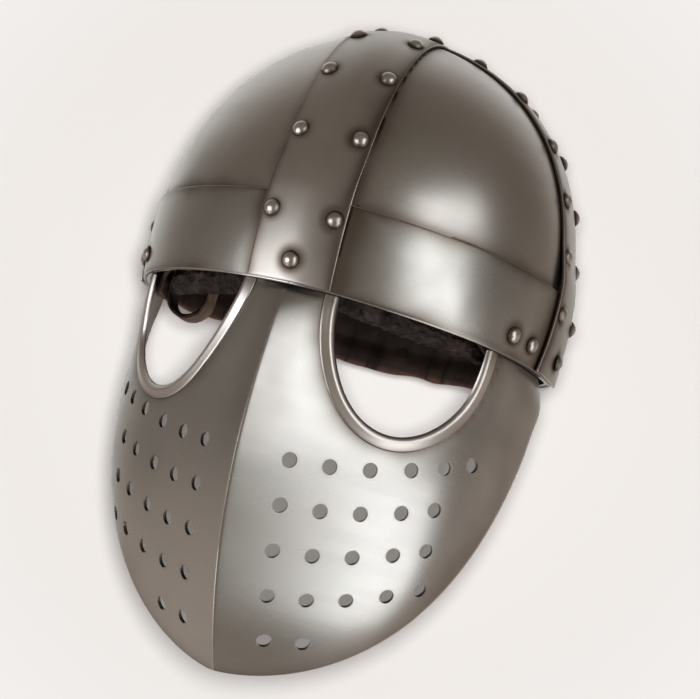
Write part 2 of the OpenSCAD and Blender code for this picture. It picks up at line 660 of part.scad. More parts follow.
bar_x = 82;
fold_top = 14;
sleeve_r = wire_d / 2 + pivot_play + strap_t * 0.8;
slot_up = 6;
module chin_strap_buckle_end() {
  path = [[strap_mid, low_rivet_z + strap_end], [strap_mid, low_rivet_z - 5],
    [strap_mid - 2.2, -1], [bar_x + strap_t * 0.6, -13], [bar_x + strap_t * 0.6, -buckle_drop]];
  fold = [[bar_x - strap_t * 0.6, -buckle_drop], [bar_x - strap_t * 0.6, -buckle_drop + fold_top]];
  color(suede) difference() {
    union() {
      strap_solid(1, strap_w) polygon(strip(path, strap_t));
      strap_solid(1, strap_w) polygon(strip(fold, strap_t));
      bar_place() cylinder(r = sleeve_r, h = strap_w, center = true);
    }
    bar_place() cylinder(r = wire_d / 2 + pivot_play, h = strap_w + 2, center = true);
    ear_bore(1);
    // Slot for the prong
    translate([bar_x - 8, band_y - prong_w / 2 - 0.5, -buckle_drop - 8])
      cube([16, prong_w + 1, 8 + slot_up]);
    buckle_rivet_bore();
  }
}

// The buckle bar's axis, along Y
module bar_place() translate([bar_x, band_y, -buckle_drop]) rotate([90, 0, 0]) children();

keeper_wall = 1.2;
keeper_w = 5;
keeper_z = -23;
module strap_keeper() {
  inner = [strap_t + 0.6, strap_w + 0.6];
  color(suede) translate([bar_x + strap_t * 0.6, band_y, keeper_z]) difference() {
    cube([inner.x + 2 * keeper_wall, inner.y + 2 * keeper_wall, keeper_w], center = true);
    cube([inner.x, inner.y, keeper_w + 2], center = true);
  }
}

rivet_up = 9;
small_shank = 2;
small_head = 4.6;
module buckle_rivet_place() translate([bar_x, band_y, -buckle_drop + rivet_up]) rotate([0, 90, 0]) children();
module buckle_rivet_bore() buckle_rivet_place() cylinder(d = small_shank + 0.2, h = 14, center = true);
module buckle_rivet() {
  half = strap_t * 1.1 + seat_gap;
  color(steel) buckle_rivet_place() {
    cylinder(d = small_shank, h = 2 * half + 0.2, center = true);
    for (s = [-1, 1]) translate([0, 0, s * (half + 0.5)]) cylinder(d = small_head, h = 1, center = true);
  }
}

module wire(a, b) {
  d = b - a;
  translate(a) rotate([0, acos(d.z / norm(d)), atan2(d.y, d.x)]) cylinder(d = wire_d, h = norm(d));
}
module buckle_frame() {
  top = [for (s = [-1, 1]) [bar_x, band_y + s * buckle_w / 2, -buckle_drop]];
  low = [for (p = top) p - [0, 0, buckle_l]];
  color(steel) {
    wire(top[0], top[1]);
    wire(low[0], low[1]);
    for (s = [0, 1]) wire(low[s], top[s]);
    for (p = concat(top, low)) translate(p) sphere(d = wire_d);
  }
}

prong_w = 2.6;
prong_t = 2;
module buckle_prong() {
  ring_r = wire_d / 2 + pivot_play + 1.3;
  tongue_in = wire_d / 2 + 0.35;
  reach = buckle_l + 2;
  color(steel) difference() {
    union() {
      bar_place() cylinder(r = ring_r, h = prong_w, center = true);
      translate([bar_x - tongue_in - prong_t, band_y - prong_w / 2, -buckle_drop - reach])
        cube([prong_t, prong_w, reach]);
    }
    bar_place() cylinder(r = wire_d / 2 + pivot_play, h = prong_w + 2, center = true);
  }
}

module strap_washer(side)
  color(steel) translate([side * washer_x, band_y, low_rivet_z]) rotate([0, -90 * side, 0])
    difference() {
      cylinder(d = washer_d, h = washer_t);
      translate([0, 0, -1]) cylinder(r = shank_d / 2 + pivot_play, h = washer_t + 2);
    }

// Ear rivets hold the bands, the headband and an end of the chin strap
module rivet_ear(side) {
  spot = ear_spot(side);
  reach = abs(spot[0].x) - washer_x + washer_t;
  color(steel) along(spot) rivet(cross_out + 0.3, -reach);
}

module rivets_front_arm() color(steel) arm_rivets(front_spots, len(front_climb));
module rivets_rear_arm() color(steel) arm_rivets(rear_spots, len(rear_climb));
module rivets_left_arm() color(steel) arm_rivets(side_spots(1), len(side_climb));
module rivets_right_arm() color(steel) arm_rivets(side_spots(-1), len(side_climb));
module rivet_nose()
  color(steel) along(nose_spot) rivet(off_at(nose_spot, cross_out), off_at(nose_spot, tab_in));
module rivet_nape()
  color(steel) along(nape_spot)
    rivet(off_at(nape_spot, cross_out), off_at(nape_spot, clamp_in(nape_spot[0])));
module rivets_temple(side)
  color(steel) for (s = temple_spots(side)) along(s)
    rivet(off_at(s, brow_out), off_at(s, tab_in));

skull_plate_front_left();
skull_plate_front_right();
skull_plate_rear_left();
skull_plate_rear_right();
brow_band();
cross_band();
face_mask();
eye_rim(1);  // eye_rim_left
eye_rim(-1);  // eye_rim_right
rivets_front_arm();
rivets_rear_arm();
rivets_left_arm();
rivets_right_arm();
rivet_nose();
rivet_nape();
rivets_temple(1);  // rivets_temple_left
rivets_temple(-1);  // rivets_temple_right
rivet_ear(1);  // rivet_ear_left
rivet_ear(-1);  // rivet_ear_right
liner_headband();
liner_brow_roll();
liner_leaf(1);  // liner_leaf_1
liner_leaf(2);  // liner_leaf_2
liner_leaf(3);  // liner_leaf_3
liner_leaf(4);  // liner_leaf_4
liner_leaf(5);  // liner_leaf_5
liner_leaf(6);  // liner_leaf_6
liner_leaf(7);  // liner_leaf_7
liner_leaf(8);  // liner_leaf_8
liner_crown_lace();
chin_strap_tail();
chin_strap_buckle_end();
strap_washer(1);  // strap_washer_left
strap_washer(-1);  // strap_washer_right
strap_keeper();
buckle_frame();
buckle_prong();
buckle_rivet();
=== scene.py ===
"""Skull cap helmet: smooth steel, leather and straps around the fixed frame, and its studio.

The helmet faces -Y, the wearer's left is +X, and the brow rim lies in the plane z = 0.
Lengths are millimetres in the shape functions, and metres in the meshes."""
import math

import bpy
import numpy as np
from mathutils import Matrix, Vector, noise


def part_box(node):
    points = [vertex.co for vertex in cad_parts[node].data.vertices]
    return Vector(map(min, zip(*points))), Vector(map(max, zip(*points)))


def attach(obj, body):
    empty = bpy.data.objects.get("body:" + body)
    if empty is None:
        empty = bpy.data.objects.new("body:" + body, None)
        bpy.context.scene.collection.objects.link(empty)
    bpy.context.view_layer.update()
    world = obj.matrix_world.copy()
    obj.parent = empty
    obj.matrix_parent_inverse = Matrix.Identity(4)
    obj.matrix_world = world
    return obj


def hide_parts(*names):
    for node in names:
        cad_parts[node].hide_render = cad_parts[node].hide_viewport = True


bl_info = {
    "name": "Skull Cap Helmet",
    "version": (1, 0, 0),
    "blender": (4, 5, 0),
    "location": "View3D > Sidebar > Helmet",
    "description": "Builds a riveted skull cap helmet with a face mask, a liner and a chin strap",
    "category": "Add Mesh",
}

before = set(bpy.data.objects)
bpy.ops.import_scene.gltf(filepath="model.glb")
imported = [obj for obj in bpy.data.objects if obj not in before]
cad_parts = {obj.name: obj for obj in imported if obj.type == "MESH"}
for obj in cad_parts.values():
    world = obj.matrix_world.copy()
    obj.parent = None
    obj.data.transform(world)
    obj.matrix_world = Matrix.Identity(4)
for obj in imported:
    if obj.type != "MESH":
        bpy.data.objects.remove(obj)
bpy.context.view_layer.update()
MM = 0.001

# Reaches of the skull from the middle of the rim, and the powers of its curves
SIDE, FRONT, REAR, CROWN = 96.5, 97.0, 110.0, 139.5
NOSE_SOFT, SIDE_POWER, FRONT_POWER, REAR_POWER = 6.0, 1.5, 2.4, 1.6
DOME_POWER, PLAN_MEAN, NAPE_RISE = 2.7, 1.9, 9.0
# Sheets, as distances outward from the faces of the skull plates
SHEET, BROW_IN, BROW_OUT, TAB_OUT = 1.5, 0.4, 1.9, -1.9
ARM_OUT = BROW_IN + SHEET
BROW_H, ARM_HALF, BAND_Y = 36.0, 18.2, -10.8
# The mask: drops below the rim, reaches forward and half widths
TAB_H, CHIN, KEEL_DROP, KEEL_START = 14.0, 157.5, 40.0, 35.0
KEEL_REACH, CHEEK_HALF = 103.5, 97.0
NOSE_RIDGE, NOSE_HALF = 2.2, 16.0
EYE_X, EYE_HALF, EYE_DEEP = 48.5, 28.5, 47.8
HOLE_R = 3.2
# The headband's outer face, low down and high up, and the leather's thickness and play
HEADBAND_LOW, HEADBAND_HIGH, LEATHER, PLAY = -5.1, -1.9, 2.2, 0.4


def held(t):
    """t held between 0 and 1."""
    return np.clip(t, 0, 1)


def pos(t):
    """t, or 0 where it is below 0."""
    return np.maximum(0, t)


def ease(t):
    u = held(t)
    return u * u * (3 - 2 * u)


def sine(degrees):
    return np.sin(np.radians(degrees))


def cosine(degrees):
    return np.cos(np.radians(degrees))


def unit(v):
    return v / np.linalg.norm(v, axis=-1, keepdims=True)


def soft(v, power):
    return (v * v + NOSE_SOFT**2) ** (power / 2) - NOSE_SOFT**power


def share(v, reach, power):
    return soft(v, power) / soft(reach, power)


def unshare(q, reach, power):
    inner = pos(q) * soft(reach, power) + NOSE_SOFT**power
    return np.sqrt(pos(inner ** (2 / power) - NOSE_SOFT**2))


def half_w(z):
    return SIDE - 1.8 * pos(1 - pos(z) / 45) ** 2


def lean(z):
    u = pos(z) / (0.75 * CROWN)
    return 24 * u * (1 - u)


def rim_z(y):
    return NAPE_RISE * ease((y + 20) / (REAR + 20))


def rim_at(turn):
    """Height of the rim at a turn from the front."""
    reach = -cosine(turn)
    return rim_z(reach * np.where(reach < 0, FRONT, REAR))


def on_brow(p):
    return 1 - ease((p[:, 2] - rim_z(p[:, 1]) - BROW_H - 1.2) / 24)


def form(p, off):
    """Below 0 inside the skull grown by off, above 0 outside it."""
    z = pos(p[:, 2])
    y = p[:, 1] + lean(p[:, 2])
    across = SIDE_POWER + 0.6 * ease(y / 70)
    plan = share(p[:, 0], half_w(p[:, 2]) + off, across)
    ahead, behind = share(y, FRONT + off, FRONT_POWER), share(y, REAR + off, REAR_POWER)
    plan = plan + np.where(y < 0, ahead, behind)
    return plan ** (DOME_POWER / PLAN_MEAN) + (z / (CROWN + off)) ** DOME_POWER - 1


def hit(origin, rays, off, climb=0.0):
    """Points where rays leave the grown skull; climb is added over the brow band."""
    low, high = np.zeros(len(rays)), np.full(len(rays), 220.0)
    for _ in range(26):
        mid = (low + high) / 2
        p = origin + rays * mid[:, None]
        out = form(p, off + climb * on_brow(p)) > 0
        high = np.where(out, mid, high)
        low = np.where(out, low, mid)
    return origin + rays * ((low + high) / 2)[:, None]


def outward(p):
    step = 0.05
    return unit(np.stack([form(p + d, 0) - form(p - d, 0) for d in np.eye(3) * step], -1))


def points(x, y, z):
    return np.stack(np.broadcast_arrays(x, y, z), -1).astype(float)


def aim(turn, climb):
    """Directions turned from the front to the wearer's left, and climbing, in degrees."""
    return points(cosine(climb) * sine(turn), -cosine(climb) * cosine(turn), sine(climb))


def keel(h):
    rise = KEEL_REACH - FRONT - TAB_OUT
    low = KEEL_REACH - rise * pos((KEEL_DROP - h) / KEEL_DROP) ** 2.5
    high = KEEL_REACH - 52 * (pos(h - KEEL_DROP) / (CHIN - KEEL_DROP)) ** 2.2
    return np.where(h < KEEL_DROP, low, high)


def turned(h):
    return sine(90 * held(h / KEEL_START))


def mask_half(h):
    rim = half_w(pos(-h)) + TAB_OUT
    return rim + (CHEEK_HALF - rim) * turned(2 * h)


def edge_x(h):
    """Half width of the mask at a drop h; its rear upper corners reach a little further."""
    ear = 0.0115 * (1 - ease((h - 4) / 24)) + 0.0016 * (1 - ease(h / 9))
    return mask_half(h) * (0.985 + ear * ease((h + 4) / 4)) * (1 - (pos(h) / CHIN) ** 2.8) ** 0.571


def mask_y(x, h, crease=0.0):
    """Outer face of the mask at a distance x from the keel and a drop h below the rim."""
    x = np.abs(x)
    q = (1 - (pos(-h) / (CROWN + TAB_OUT)) ** DOME_POWER) ** (PLAN_MEAN / DOME_POWER)
    half = half_w(pos(-h)) + TAB_OUT
    reach = FRONT + TAB_OUT
    tab = -lean(-h) - unshare(q - share(x, half, SIDE_POWER), reach, FRONT_POWER)
    wide = mask_half(h) - 0.12 * CHEEK_HALF * (pos(h) / 100) ** 3.5
    far = np.minimum(x / wide, 0.9999)
    rim = half_w(0) + TAB_OUT
    brow = unshare(1 - share(far * rim, rim, SIDE_POWER), reach, FRONT_POWER) / reach
    cheek = (1 - far**6) ** (1 / 6)
    turn = turned(h)
    lift = np.sqrt(x * x + crease * crease) - crease
    face = 0.7 * turn * lift - keel(h) * (brow * (1 - turn) + cheek * turn)
    nose = pos(1 - lift / NOSE_HALF) ** 1.3 * ease(h / 3) * (1 - ease((h - 6) / 24))
    face = face - NOSE_RIDGE * nose
    return np.where(h < 0, tab, face)


def mask_at(x, h, crease=0.0):
    return points(x, mask_y(x, h, crease), -h)


def mask_out(x, h):
    step = 0.05
    across = mask_at(x + step, h) - mask_at(x, h)
    return unit(np.cross(mask_at(x, h + step) - mask_at(x, h), across))


def breath_spots():
    """Middles and directions of the breath holes, five rows on each side."""
    places = [18.5, 32.5, 46.5, 60.5, 71.5, 80.5]
    spots = []
    for side in (-1, 1):
        for row, count in enumerate([6, 5, 5, 5, 2]):
            x = np.array(places[:count])
            h = 69 + 18 * row - (19.5 + 0.5 * row * row + 2 * side) * (x / 80) ** 2.2
            spots += zip(mask_at(x, h) * [side, 1, 1], mask_out(x, h) * [side, 1, 1])
    return spots


def eye_curve(side, a):
    """Edge of an eye opening at an angle from 180 to 360 degrees: x from its middle, and z."""
    # The right opening is hammered a little deeper and leans outward
    deep, swing = (2.2, 5.5) if side < 0 else (0, 0)
    z = (EYE_DEEP + deep) * sine(a)
    return EYE_HALF * cosine(a) + swing * ease(-z / KEEL_START), z


def headband_off(up):
    return HEADBAND_LOW + (HEADBAND_HIGH - HEADBAND_LOW) * ease((up - 2) / 9)


# Rivets: height of the low ones over the rim, the heads' gap, and the tails' height
LOW_RIVET, HEAD_OFF, TAIL_H = 9.0, 0.12, 1
EAR_CLIMBS = [16.2, 29.9, 42.3, 54, 65.6, 76.4]


def spots_at(origin, direction):
    """Rivet places, each a middle and a direction, where rays leave the skull plates."""
    p = hit(origin, direction, 0)
    return list(zip(p, outward(p)))


def arm_spots(turn, climbs):
    """Rivets of the arm at a turn from the front, in two rows."""
    c = np.array(climbs)
    spots = []
    for s in (-12.8, 12.8):
        x, y = (s, 0) if turn in (0, 180) else (0, s)
        spots += spots_at(points(x, BAND_Y + y, c * 0), aim(turn, c))
    return spots


def temple_spots(side):
    return spots_at(points([0, 0], 0, LOW_RIVET), aim(side * np.array([59.5, 67.5]), 0))


def ear_spot(side):
    p = hit(points([0], BAND_Y, LOW_RIVET), aim([90 * side], 0), 0)
    return [(p[0], np.array([side, 0.0, 0.0]))]


SPOTS = {
    "rivets_front_arm": arm_spots(0, [17.5, 36.3, 52, 66.5, 79.3]),
    "rivets_rear_arm": arm_spots(180, [18.5, 36.5, 52, 67, 80]),
    "rivets_left_arm": arm_spots(90, EAR_CLIMBS),
    "rivets_right_arm": arm_spots(-90, EAR_CLIMBS),
    "rivet_nose": spots_at(points([0], BAND_Y, LOW_RIVET), aim([0], 0)),
    "rivet_nape": spots_at(points([0], BAND_Y, NAPE_RISE + LOW_RIVET), aim([180], 0)),
    "rivets_temple_left": temple_spots(1), "rivets_temple_right": temple_spots(-1),
    "rivet_ear_left": ear_spot(1), "rivet_ear_right": ear_spot(-1)}
ALL_SPOTS = sum(SPOTS.values(), [])


def off_at(p, n, off):
    """Distance along a rivet's direction from the plates' face to the skull grown by off."""
    far = hit((p - 30 * n)[None], n[None], off)[0]
    return float((far - p) @ n)


# Mesh helpers

def clear():
    if bpy.context.object and bpy.context.object.mode != "OBJECT":
        bpy.ops.object.mode_set(mode="OBJECT")
    bpy.ops.object.select_all(action="DESELECT")


def pick(obj):
    clear()
    obj.select_set(True)
    bpy.context.view_layer.objects.active = obj


def edit(obj, work):
    """Runs a step in edit mode with everything in obj selected."""
    pick(obj)
    bpy.ops.object.mode_set(mode="EDIT")
    bpy.ops.mesh.select_all(action="SELECT")
    work()
    bpy.ops.object.mode_set(mode="OBJECT")


def coords(obj):
    co = np.empty(len(obj.data.vertices) * 3)
    obj.data.vertices.foreach_get("co", co)
    return co.reshape(-1, 3)


def in_mm(obj):
    return coords(obj) / MM


def place(obj, p):
    obj.data.vertices.foreach_set("co", np.asarray(p, float).ravel())
    obj.data.update()


def sheet_from(name, cols, rows, shape):
    """A grid whose two shares u and v, from 0 to 1, are laid out by shape in millimetres."""
    clear()
    bpy.ops.mesh.primitive_grid_add(x_subdivisions=cols, y_subdivisions=rows, size=2)
    obj = bpy.context.object
    obj.name = obj.data.name = name
    co = coords(obj)
    place(obj, shape((co[:, 0] + 1) / 2, (co[:, 1] + 1) / 2) * MM)
    return obj


def face_out(obj, centre=(0, 0, 0)):
    """Turns an open sheet's faces away from a centre."""
    mesh = obj.data
    lean_sum = sum((p.center - Vector(centre) * MM).dot(p.normal) * p.area for p in mesh.polygons)
    if lean_sum < 0:
        edit(obj, bpy.ops.mesh.flip_normals)


def weld(obj, near=0.01):
    edit(obj, lambda: bpy.ops.mesh.remove_doubles(threshold=near * MM))


def linked(obj):
    bpy.context.scene.collection.objects.link(obj)
    return obj


def copied(source):
    obj = source.copy()
    obj.data = source.data.copy()
    return linked(obj)


def stood(p, n):
    """The turn and shift that stand a piece at p along n."""
    turn = Vector(n).to_track_quat("Z", "Y").to_matrix().to_4x4()
    return Matrix.Translation(Vector(p) * MM) @ turn


def apply(obj, kind, **settings):
    pick(obj)
    m = obj.modifiers.new(kind, kind)
    for key, value in settings.items():
        setattr(m, key, value)
    bpy.ops.object.modifier_apply(modifier=m.name)


def join(parts):
    """Joins objects into the first of them."""
    pick(parts[0])
    for part in parts[1:]:
        part.select_set(True)
    bpy.ops.object.join()
    return parts[0]


def outside_out():
    bpy.ops.mesh.select_all(action="SELECT")
    bpy.ops.mesh.normals_make_consistent(inside=False)


def close_ends(obj):
    """Fills both ends of an open tube."""
    def fill():
        bpy.ops.mesh.select_all(action="DESELECT")
        bpy.ops.mesh.select_non_manifold(extend=False, use_boundary=True)
        bpy.ops.mesh.fill()
        outside_out()

    edit(obj, fill)


def thicken(obj, t):
    apply(obj, "SOLIDIFY", thickness=t * MM, offset=-1, use_even_offset=True)


def soften(obj, width, angle=50):
    apply(obj, "BEVEL", width=width * MM, segments=2, limit_method="ANGLE",
          angle_limit=math.radians(angle), use_clamp_overlap=True)


def smooth(obj, angle=35):
    pick(obj)
    bpy.ops.object.shade_smooth_by_angle(angle=math.radians(angle))


def mark(obj, **marks):
    """Stores a number for each vertex and mark, which the finish reads."""
    for name, values in marks.items():
        a = obj.data.attributes.new(name, "FLOAT", "POINT")
        a.data.foreach_set("value", np.asarray(values, np.float32))


def near_spots(p, spots, reach):
    """1 at the rivets or holes of a list, falling to 0 at a reach from them."""
    best = np.full(len(p), 1e9)
    for q, n in spots:
        d = p - q
        d = d - (d @ n)[:, None] * n * 0.8
        best = np.minimum(best, np.linalg.norm(d, axis=1))
    return held(1 - best / reach)


def fade(d, reach):
    """1 up to a distance of 0, falling off over a reach."""
    return np.exp(-pos(d) / reach)


def seam_line(d, reach):
    """1 right beside a seam at a distance d from it, falling to 0, and 0 under it."""
    return np.where(d < -0.3, 0, fade(d, reach))


def coat(obj, paint):
    if paint not in bpy.data.materials:
        make_paints()
    obj.data.materials.clear()
    obj.data.materials.append(bpy.data.materials[paint])


def dress(obj, node, slot, paint, body="helmet"):
    """Finishes a piece: it stands for its node, takes its paint and rides on a body."""
    coat(obj, paint)
    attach(obj, body)
    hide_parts(node)


# Finishes

class Wire:
    """A value in a material, which can be added, multiplied and so on."""

    def __init__(self, paint, socket):
        self.paint, self.socket = paint, socket

    def _do(self, op, a, b):
        return self.paint.node("Math", {"operation": op}, {0: a, 1: b})

    def __add__(self, o): return self._do("ADD", self, o)
    def __radd__(self, o): return self._do("ADD", o, self)
    def __sub__(self, o): return self._do("SUBTRACT", self, o)
    def __rsub__(self, o): return self._do("SUBTRACT", o, self)
    def __mul__(self, o): return self._do("MULTIPLY", self, o)
    def __rmul__(self, o): return self._do("MULTIPLY", o, self)


class Nodes:
    """A node tree that is written as expressions."""

    def __init__(self, tree):
        self.tree = tree
        tree.nodes.clear()

    def node(self, kind, settings=None, values=None, output=0):
        n = self.tree.nodes.new("ShaderNode" + kind)
        for key, value in (settings or {}).items():
            if key == "stops":
                ramp = n.color_ramp
                while len(ramp.elements) < len(value):
                    ramp.elements.new(0.5)
                for e, (at, c) in zip(ramp.elements, value):
                    e.position, e.color = at, (*c, 1)
            else:
                setattr(n, key, value)
        for key, value in (values or {}).items():
            self.feed(n.inputs[key], value)
        return Wire(self, n.outputs[output]) if n.outputs else n

    def feed(self, socket, value):
        if isinstance(value, Wire):
            self.tree.links.new(value.socket, socket)
        elif socket.type == "RGBA" and len(value) == 3:
            socket.default_value = (*value, 1)
        else:
            socket.default_value = value

    def clamp(self, value, low, high, to_low=0.0, to_high=1.0):
        return self.node("MapRange", {"interpolation_type": "SMOOTHSTEP"},
                         {0: value, 1: low, 2: high, 3: to_low, 4: to_high})

    def mix(self, fac, a, b):
        return self.node("Mix", {"data_type": "RGBA"}, {0: fac, 6: a, 7: b}, output=2)

    def along(self, value, way):
        return self.node("VectorMath", {"operation": "DOT_PRODUCT"}, {0: value, 1: way},
                         output="Value")


class Paint(Nodes):
    """One material."""

    def __init__(self, name, **plain):
        self.material = bpy.data.materials.new(name)
        self.material.use_nodes = True
        super().__init__(self.material.node_tree)
        self.shader = self.tree.nodes.new("ShaderNodeBsdfPrincipled")
        self.out = self.tree.nodes.new("ShaderNodeOutputMaterial")
        self.tree.links.new(self.shader.outputs[0], self.out.inputs[0])
        for key, value in plain.items():
            self.set(key.title(), value)
        self.place = self.node("TexCoord", output="Object")

    def set(self, name, value):
        self.feed(self.shader.inputs[name], value)

    def scaled(self, by):
        return self.node("VectorMath", {"operation": "MULTIPLY"}, {0: self.place, 1: by})

    def noise(self, scale, detail, rough=0.5, at=None, warp=0.0):
        return self.node("TexNoise", None, {
            "Vector": at or self.place, "Scale": scale, "Detail": detail,
            "Roughness": rough, "Distortion": warp})

    def cells(self, scale, feature="F1"):
        return self.node("TexVoronoi", {"feature": feature},
                         {"Vector": self.place, "Scale": scale})

    def marked(self, name):
        return self.node("Attribute", {"attribute_name": name}, output="Fac")

    def bump(self, height, strength, distance):
        return self.node("Bump", None,
                         {"Height": height, "Strength": strength, "Distance": distance})


# Seam colour: dirt in the joints, and painted contact shadow beside seams, rivet heads and hole
# rims
SEAM_DIRT_AND_SHADOW = (0.022, 0.016, 0.012)


def tinted(colour, share):
    return tuple(min(1, c) for c in np.multiply(colour, share))


def steel(name, light, dark, rough, patina, brush, brushed=0.3):
    """Antiqued steel: brushed, cloudy, brown beside rivets and seams, bright on worn edges; its
    marks also paint shade on hidden faces, shadow lines along seams and rivet rims, and highlights
    on the keel, hole rims and rivet tops.
    """
    p = Paint(name, metallic=1.0)
    grime, seam, worn = p.marked("grime"), p.marked("seam"), p.marked("worn")
    clouds = p.noise(26, 2, 0.55, warp=0.2)
    blots = p.noise(9, 2, warp=0.3)
    streaks = p.noise(0.25, 1, at=p.scaled(brush))
    # Patina beside rivets and bands, and painted shade where the grime mark covers hidden faces and
    # recesses
    dirt_and_shade = p.clamp(clouds * 0.5 + blots * 0.5 + grime * 0.55, 0.38, 0.92) * patina
    dirt_and_shade = p.clamp(dirt_and_shade + grime * (clouds * 0.8 + 0.35) * patina * 0.9, 0, 1.05)
    greenish = tinted(light, (0.86, 0.9, 0.89))
    colour = p.mix(p.clamp(p.noise(14, 1), 0.45, 0.8), light, greenish)
    colour = p.mix(dirt_and_shade, colour, dark)
    colour = p.mix(p.clamp(streaks, 0.35, 0.8) * brushed * 0.6, colour, tinted(light, 0.72))
    # Seam marks darken toward the seam colour: dirt with painted contact shadow
    depth = p.clamp(seam + (clouds - 0.5) * 0.3, 0.2, 0.95)
    colour = p.mix(depth * 0.93, colour, SEAM_DIRT_AND_SHADOW)
    # Bright where the worn mark is high: real wear on sheet edges, and painted highlights on the
    # keel, hole rims and rivet tops
    rubbed_and_highlit = p.clamp(worn + (clouds - 0.5) * 0.4, 0.3, 0.95)
    colour = p.mix(rubbed_and_highlit * 0.9, colour, tinted(light, 1.6))
    p.set("Base Color", colour)
    p.set("Roughness", rough + dirt_and_shade * 0.1 + (streaks - 0.5) * 0.05 + (clouds - 0.5) * 0.08
          + seam * 0.2 - worn * 0.05)
    p.set("Normal", p.bump(p.noise(8, 1, 0.4), 0.3, 0.002))
    return p.material


def hide(name, light, dark, raw, rough, grain, folds, bump=0.6, deep=0.0008):
    """Leather: pores, creases, rubbed high spots, folds darkened with painted shade, and a raw edge
    where it is marked.
    """
    p = Paint(name)
    p.set("Specular IOR Level", 0.28)
    edge, fold = p.marked("raw"), p.marked("fold")
    rub = p.noise(folds, 5, 0.6, warp=0.8)
    pores = p.cells(grain)
    crease = p.clamp(p.cells(folds * 1.6, "DISTANCE_TO_EDGE"), 0, 0.3)
    nap = p.noise(grain * 1.4, 2)
    colour = p.mix(p.clamp(rub, 0.35, 0.7), dark, light)
    colour = p.mix(p.clamp(nap, 0.35, 0.75) * 0.35, colour, tinted(dark, 0.45))
    colour = p.mix(p.clamp(edge + (rub - 0.5) * 0.5, 0.3, 0.8), colour, raw)
    colour = p.mix((1 - crease) * 0.35, colour, tinted(dark, 0.4))
    # Painted shade where the fold mark is high
    colour = p.mix(p.clamp(fold, 0, 1) * 0.85, colour, tinted(dark, 0.3))
    p.set("Base Color", colour)
    p.set("Roughness", rough + (rub - 0.5) * 0.25 + edge * 0.15)
    height = rub * 0.6 + pores * 0.16 + crease * 0.3 + nap * 0.12
    p.set("Normal", p.bump(height, bump, deep))
    return p.material


def colour(name, description, default):
    return bpy.props.FloatVectorProperty(name=name, description=description, default=default,
                                         subtype="COLOR", size=3, min=0, max=1)


def length(name, description, default, low, high):
    """A length, given in millimetres and kept in metres."""
    return bpy.props.FloatProperty(name=name, description=description, default=default * MM,
                                   min=low * MM, max=high * MM, unit="LENGTH")


class HelmetColours(bpy.types.PropertyGroup):
    """Colours of the helmet's steel and leather, and of its paper."""

    steel_light: colour("Steel", "Clean brushed steel", (0.49, 0.472, 0.461))
    # The patina colour is also the colour of the painted shade on hidden faces and recesses
    steel_dark: colour("Patina", "Darkened steel beside rivets, bands and in clouds",
                       (0.13, 0.105, 0.083))
    black: colour("Black leather", "Liner and the strap's dyed side", (0.016, 0.011, 0.01))
    brown: colour("Suede", "The strap's undyed side", (0.2, 0.135, 0.095))
    red_edge: colour("Raw edge", "Cut edge of the headband", (0.15, 0.072, 0.05))
    paper: colour("Backdrop", "Floor and backdrop", (0.9, 0.868, 0.845))


class HelmetSizes(bpy.types.PropertyGroup):
    """Sizes of the visible detail."""

    crease: length("Keel radius", "Rounding of the keel's crease", 0.35, 0.1, 3)
    edge: length("Sheet edge", "Rounding of the steel sheets' edges", 0.35, 0.1, 0.7)
    head_d: length("Rivet head", "Diameter of a rivet's head", 7.5, 5, 9)
    head_h: length("Rivet dome", "Height of a rivet's head", 2.4, 1, 3)
    pleat: length("Pleats", "Depth of the headband's pleats", 1.5, 0, 2)
    crumple: length("Crumple", "Depth of the brow roll's creases", 1.3, 0, 2)


def size_of(name):
    """One of the helmet's sizes in millimetres."""
    return getattr(bpy.context.scene.helmet_sizes, name) / MM


def make_paints():
    """The helmet's finishes."""
    c = bpy.context.scene.helmet_colours
    light, dark, black, brown, raw = (
        tuple(v) for v in (c.steel_light, c.steel_dark, c.black, c.brown, c.red_edge))
    cool = tinted(light, (0.98, 1.02, 1.03))
    bright = tinted(light, 1.12)
    # Roughness, patina, and how fine the brush lines are along each axis
    steel("PlateSteel", light, dark, 0.27, 0.62, (70, 70, 500))
    steel("BandSteel", cool, dark, 0.25, 0.72, (350, 350, 50))
    steel("CrossSteel", light, dark, 0.36, 0.85, (500, 60, 60))
    steel("MaskSteel", cool, dark, 0.27, 0.48, (90, 90, 700), 0.2)
    steel("RimSteel", bright, dark, 0.33, 0.45, (90, 90, 90), 0.1)
    steel("RivetSteel", bright, dark, 0.3, 0.8, (200, 200, 200), 0.1)
    steel("BuckleSteel", light, dark, 0.28, 0.6, (300, 60, 300))
    # Roughness, and how many pores and folds go to a metre
    hide("HeadbandHide", (0.06, 0.037, 0.03), (0.024, 0.015, 0.012), raw, 0.55, 1100, 45)
    hide("RollSuede", (0.062, 0.042, 0.036), (0.01, 0.007, 0.006), raw, 0.85, 1500, 130,
         bump=1.0, deep=0.0016)
    hide("LeafHide", (0.05, 0.034, 0.028), black, raw, 0.6, 1000, 35)
    dyed = tuple(v * 1.5 + 0.004 for v in black)
    hide("StrapHide", dyed, tinted(black, 0.7), brown, 0.6, 1300, 60)
    hide("LaceHide", (0.12, 0.075, 0.05), (0.06, 0.035, 0.025), brown, 0.6, 1200, 90)


# Steel

def arm_distance(p):
    """Distance to the nearest edge of an arm, seen from above, below 0 under it."""
    return np.minimum(np.abs(p[:, 0]), np.abs(p[:, 1] - BAND_Y)) - ARM_HALF


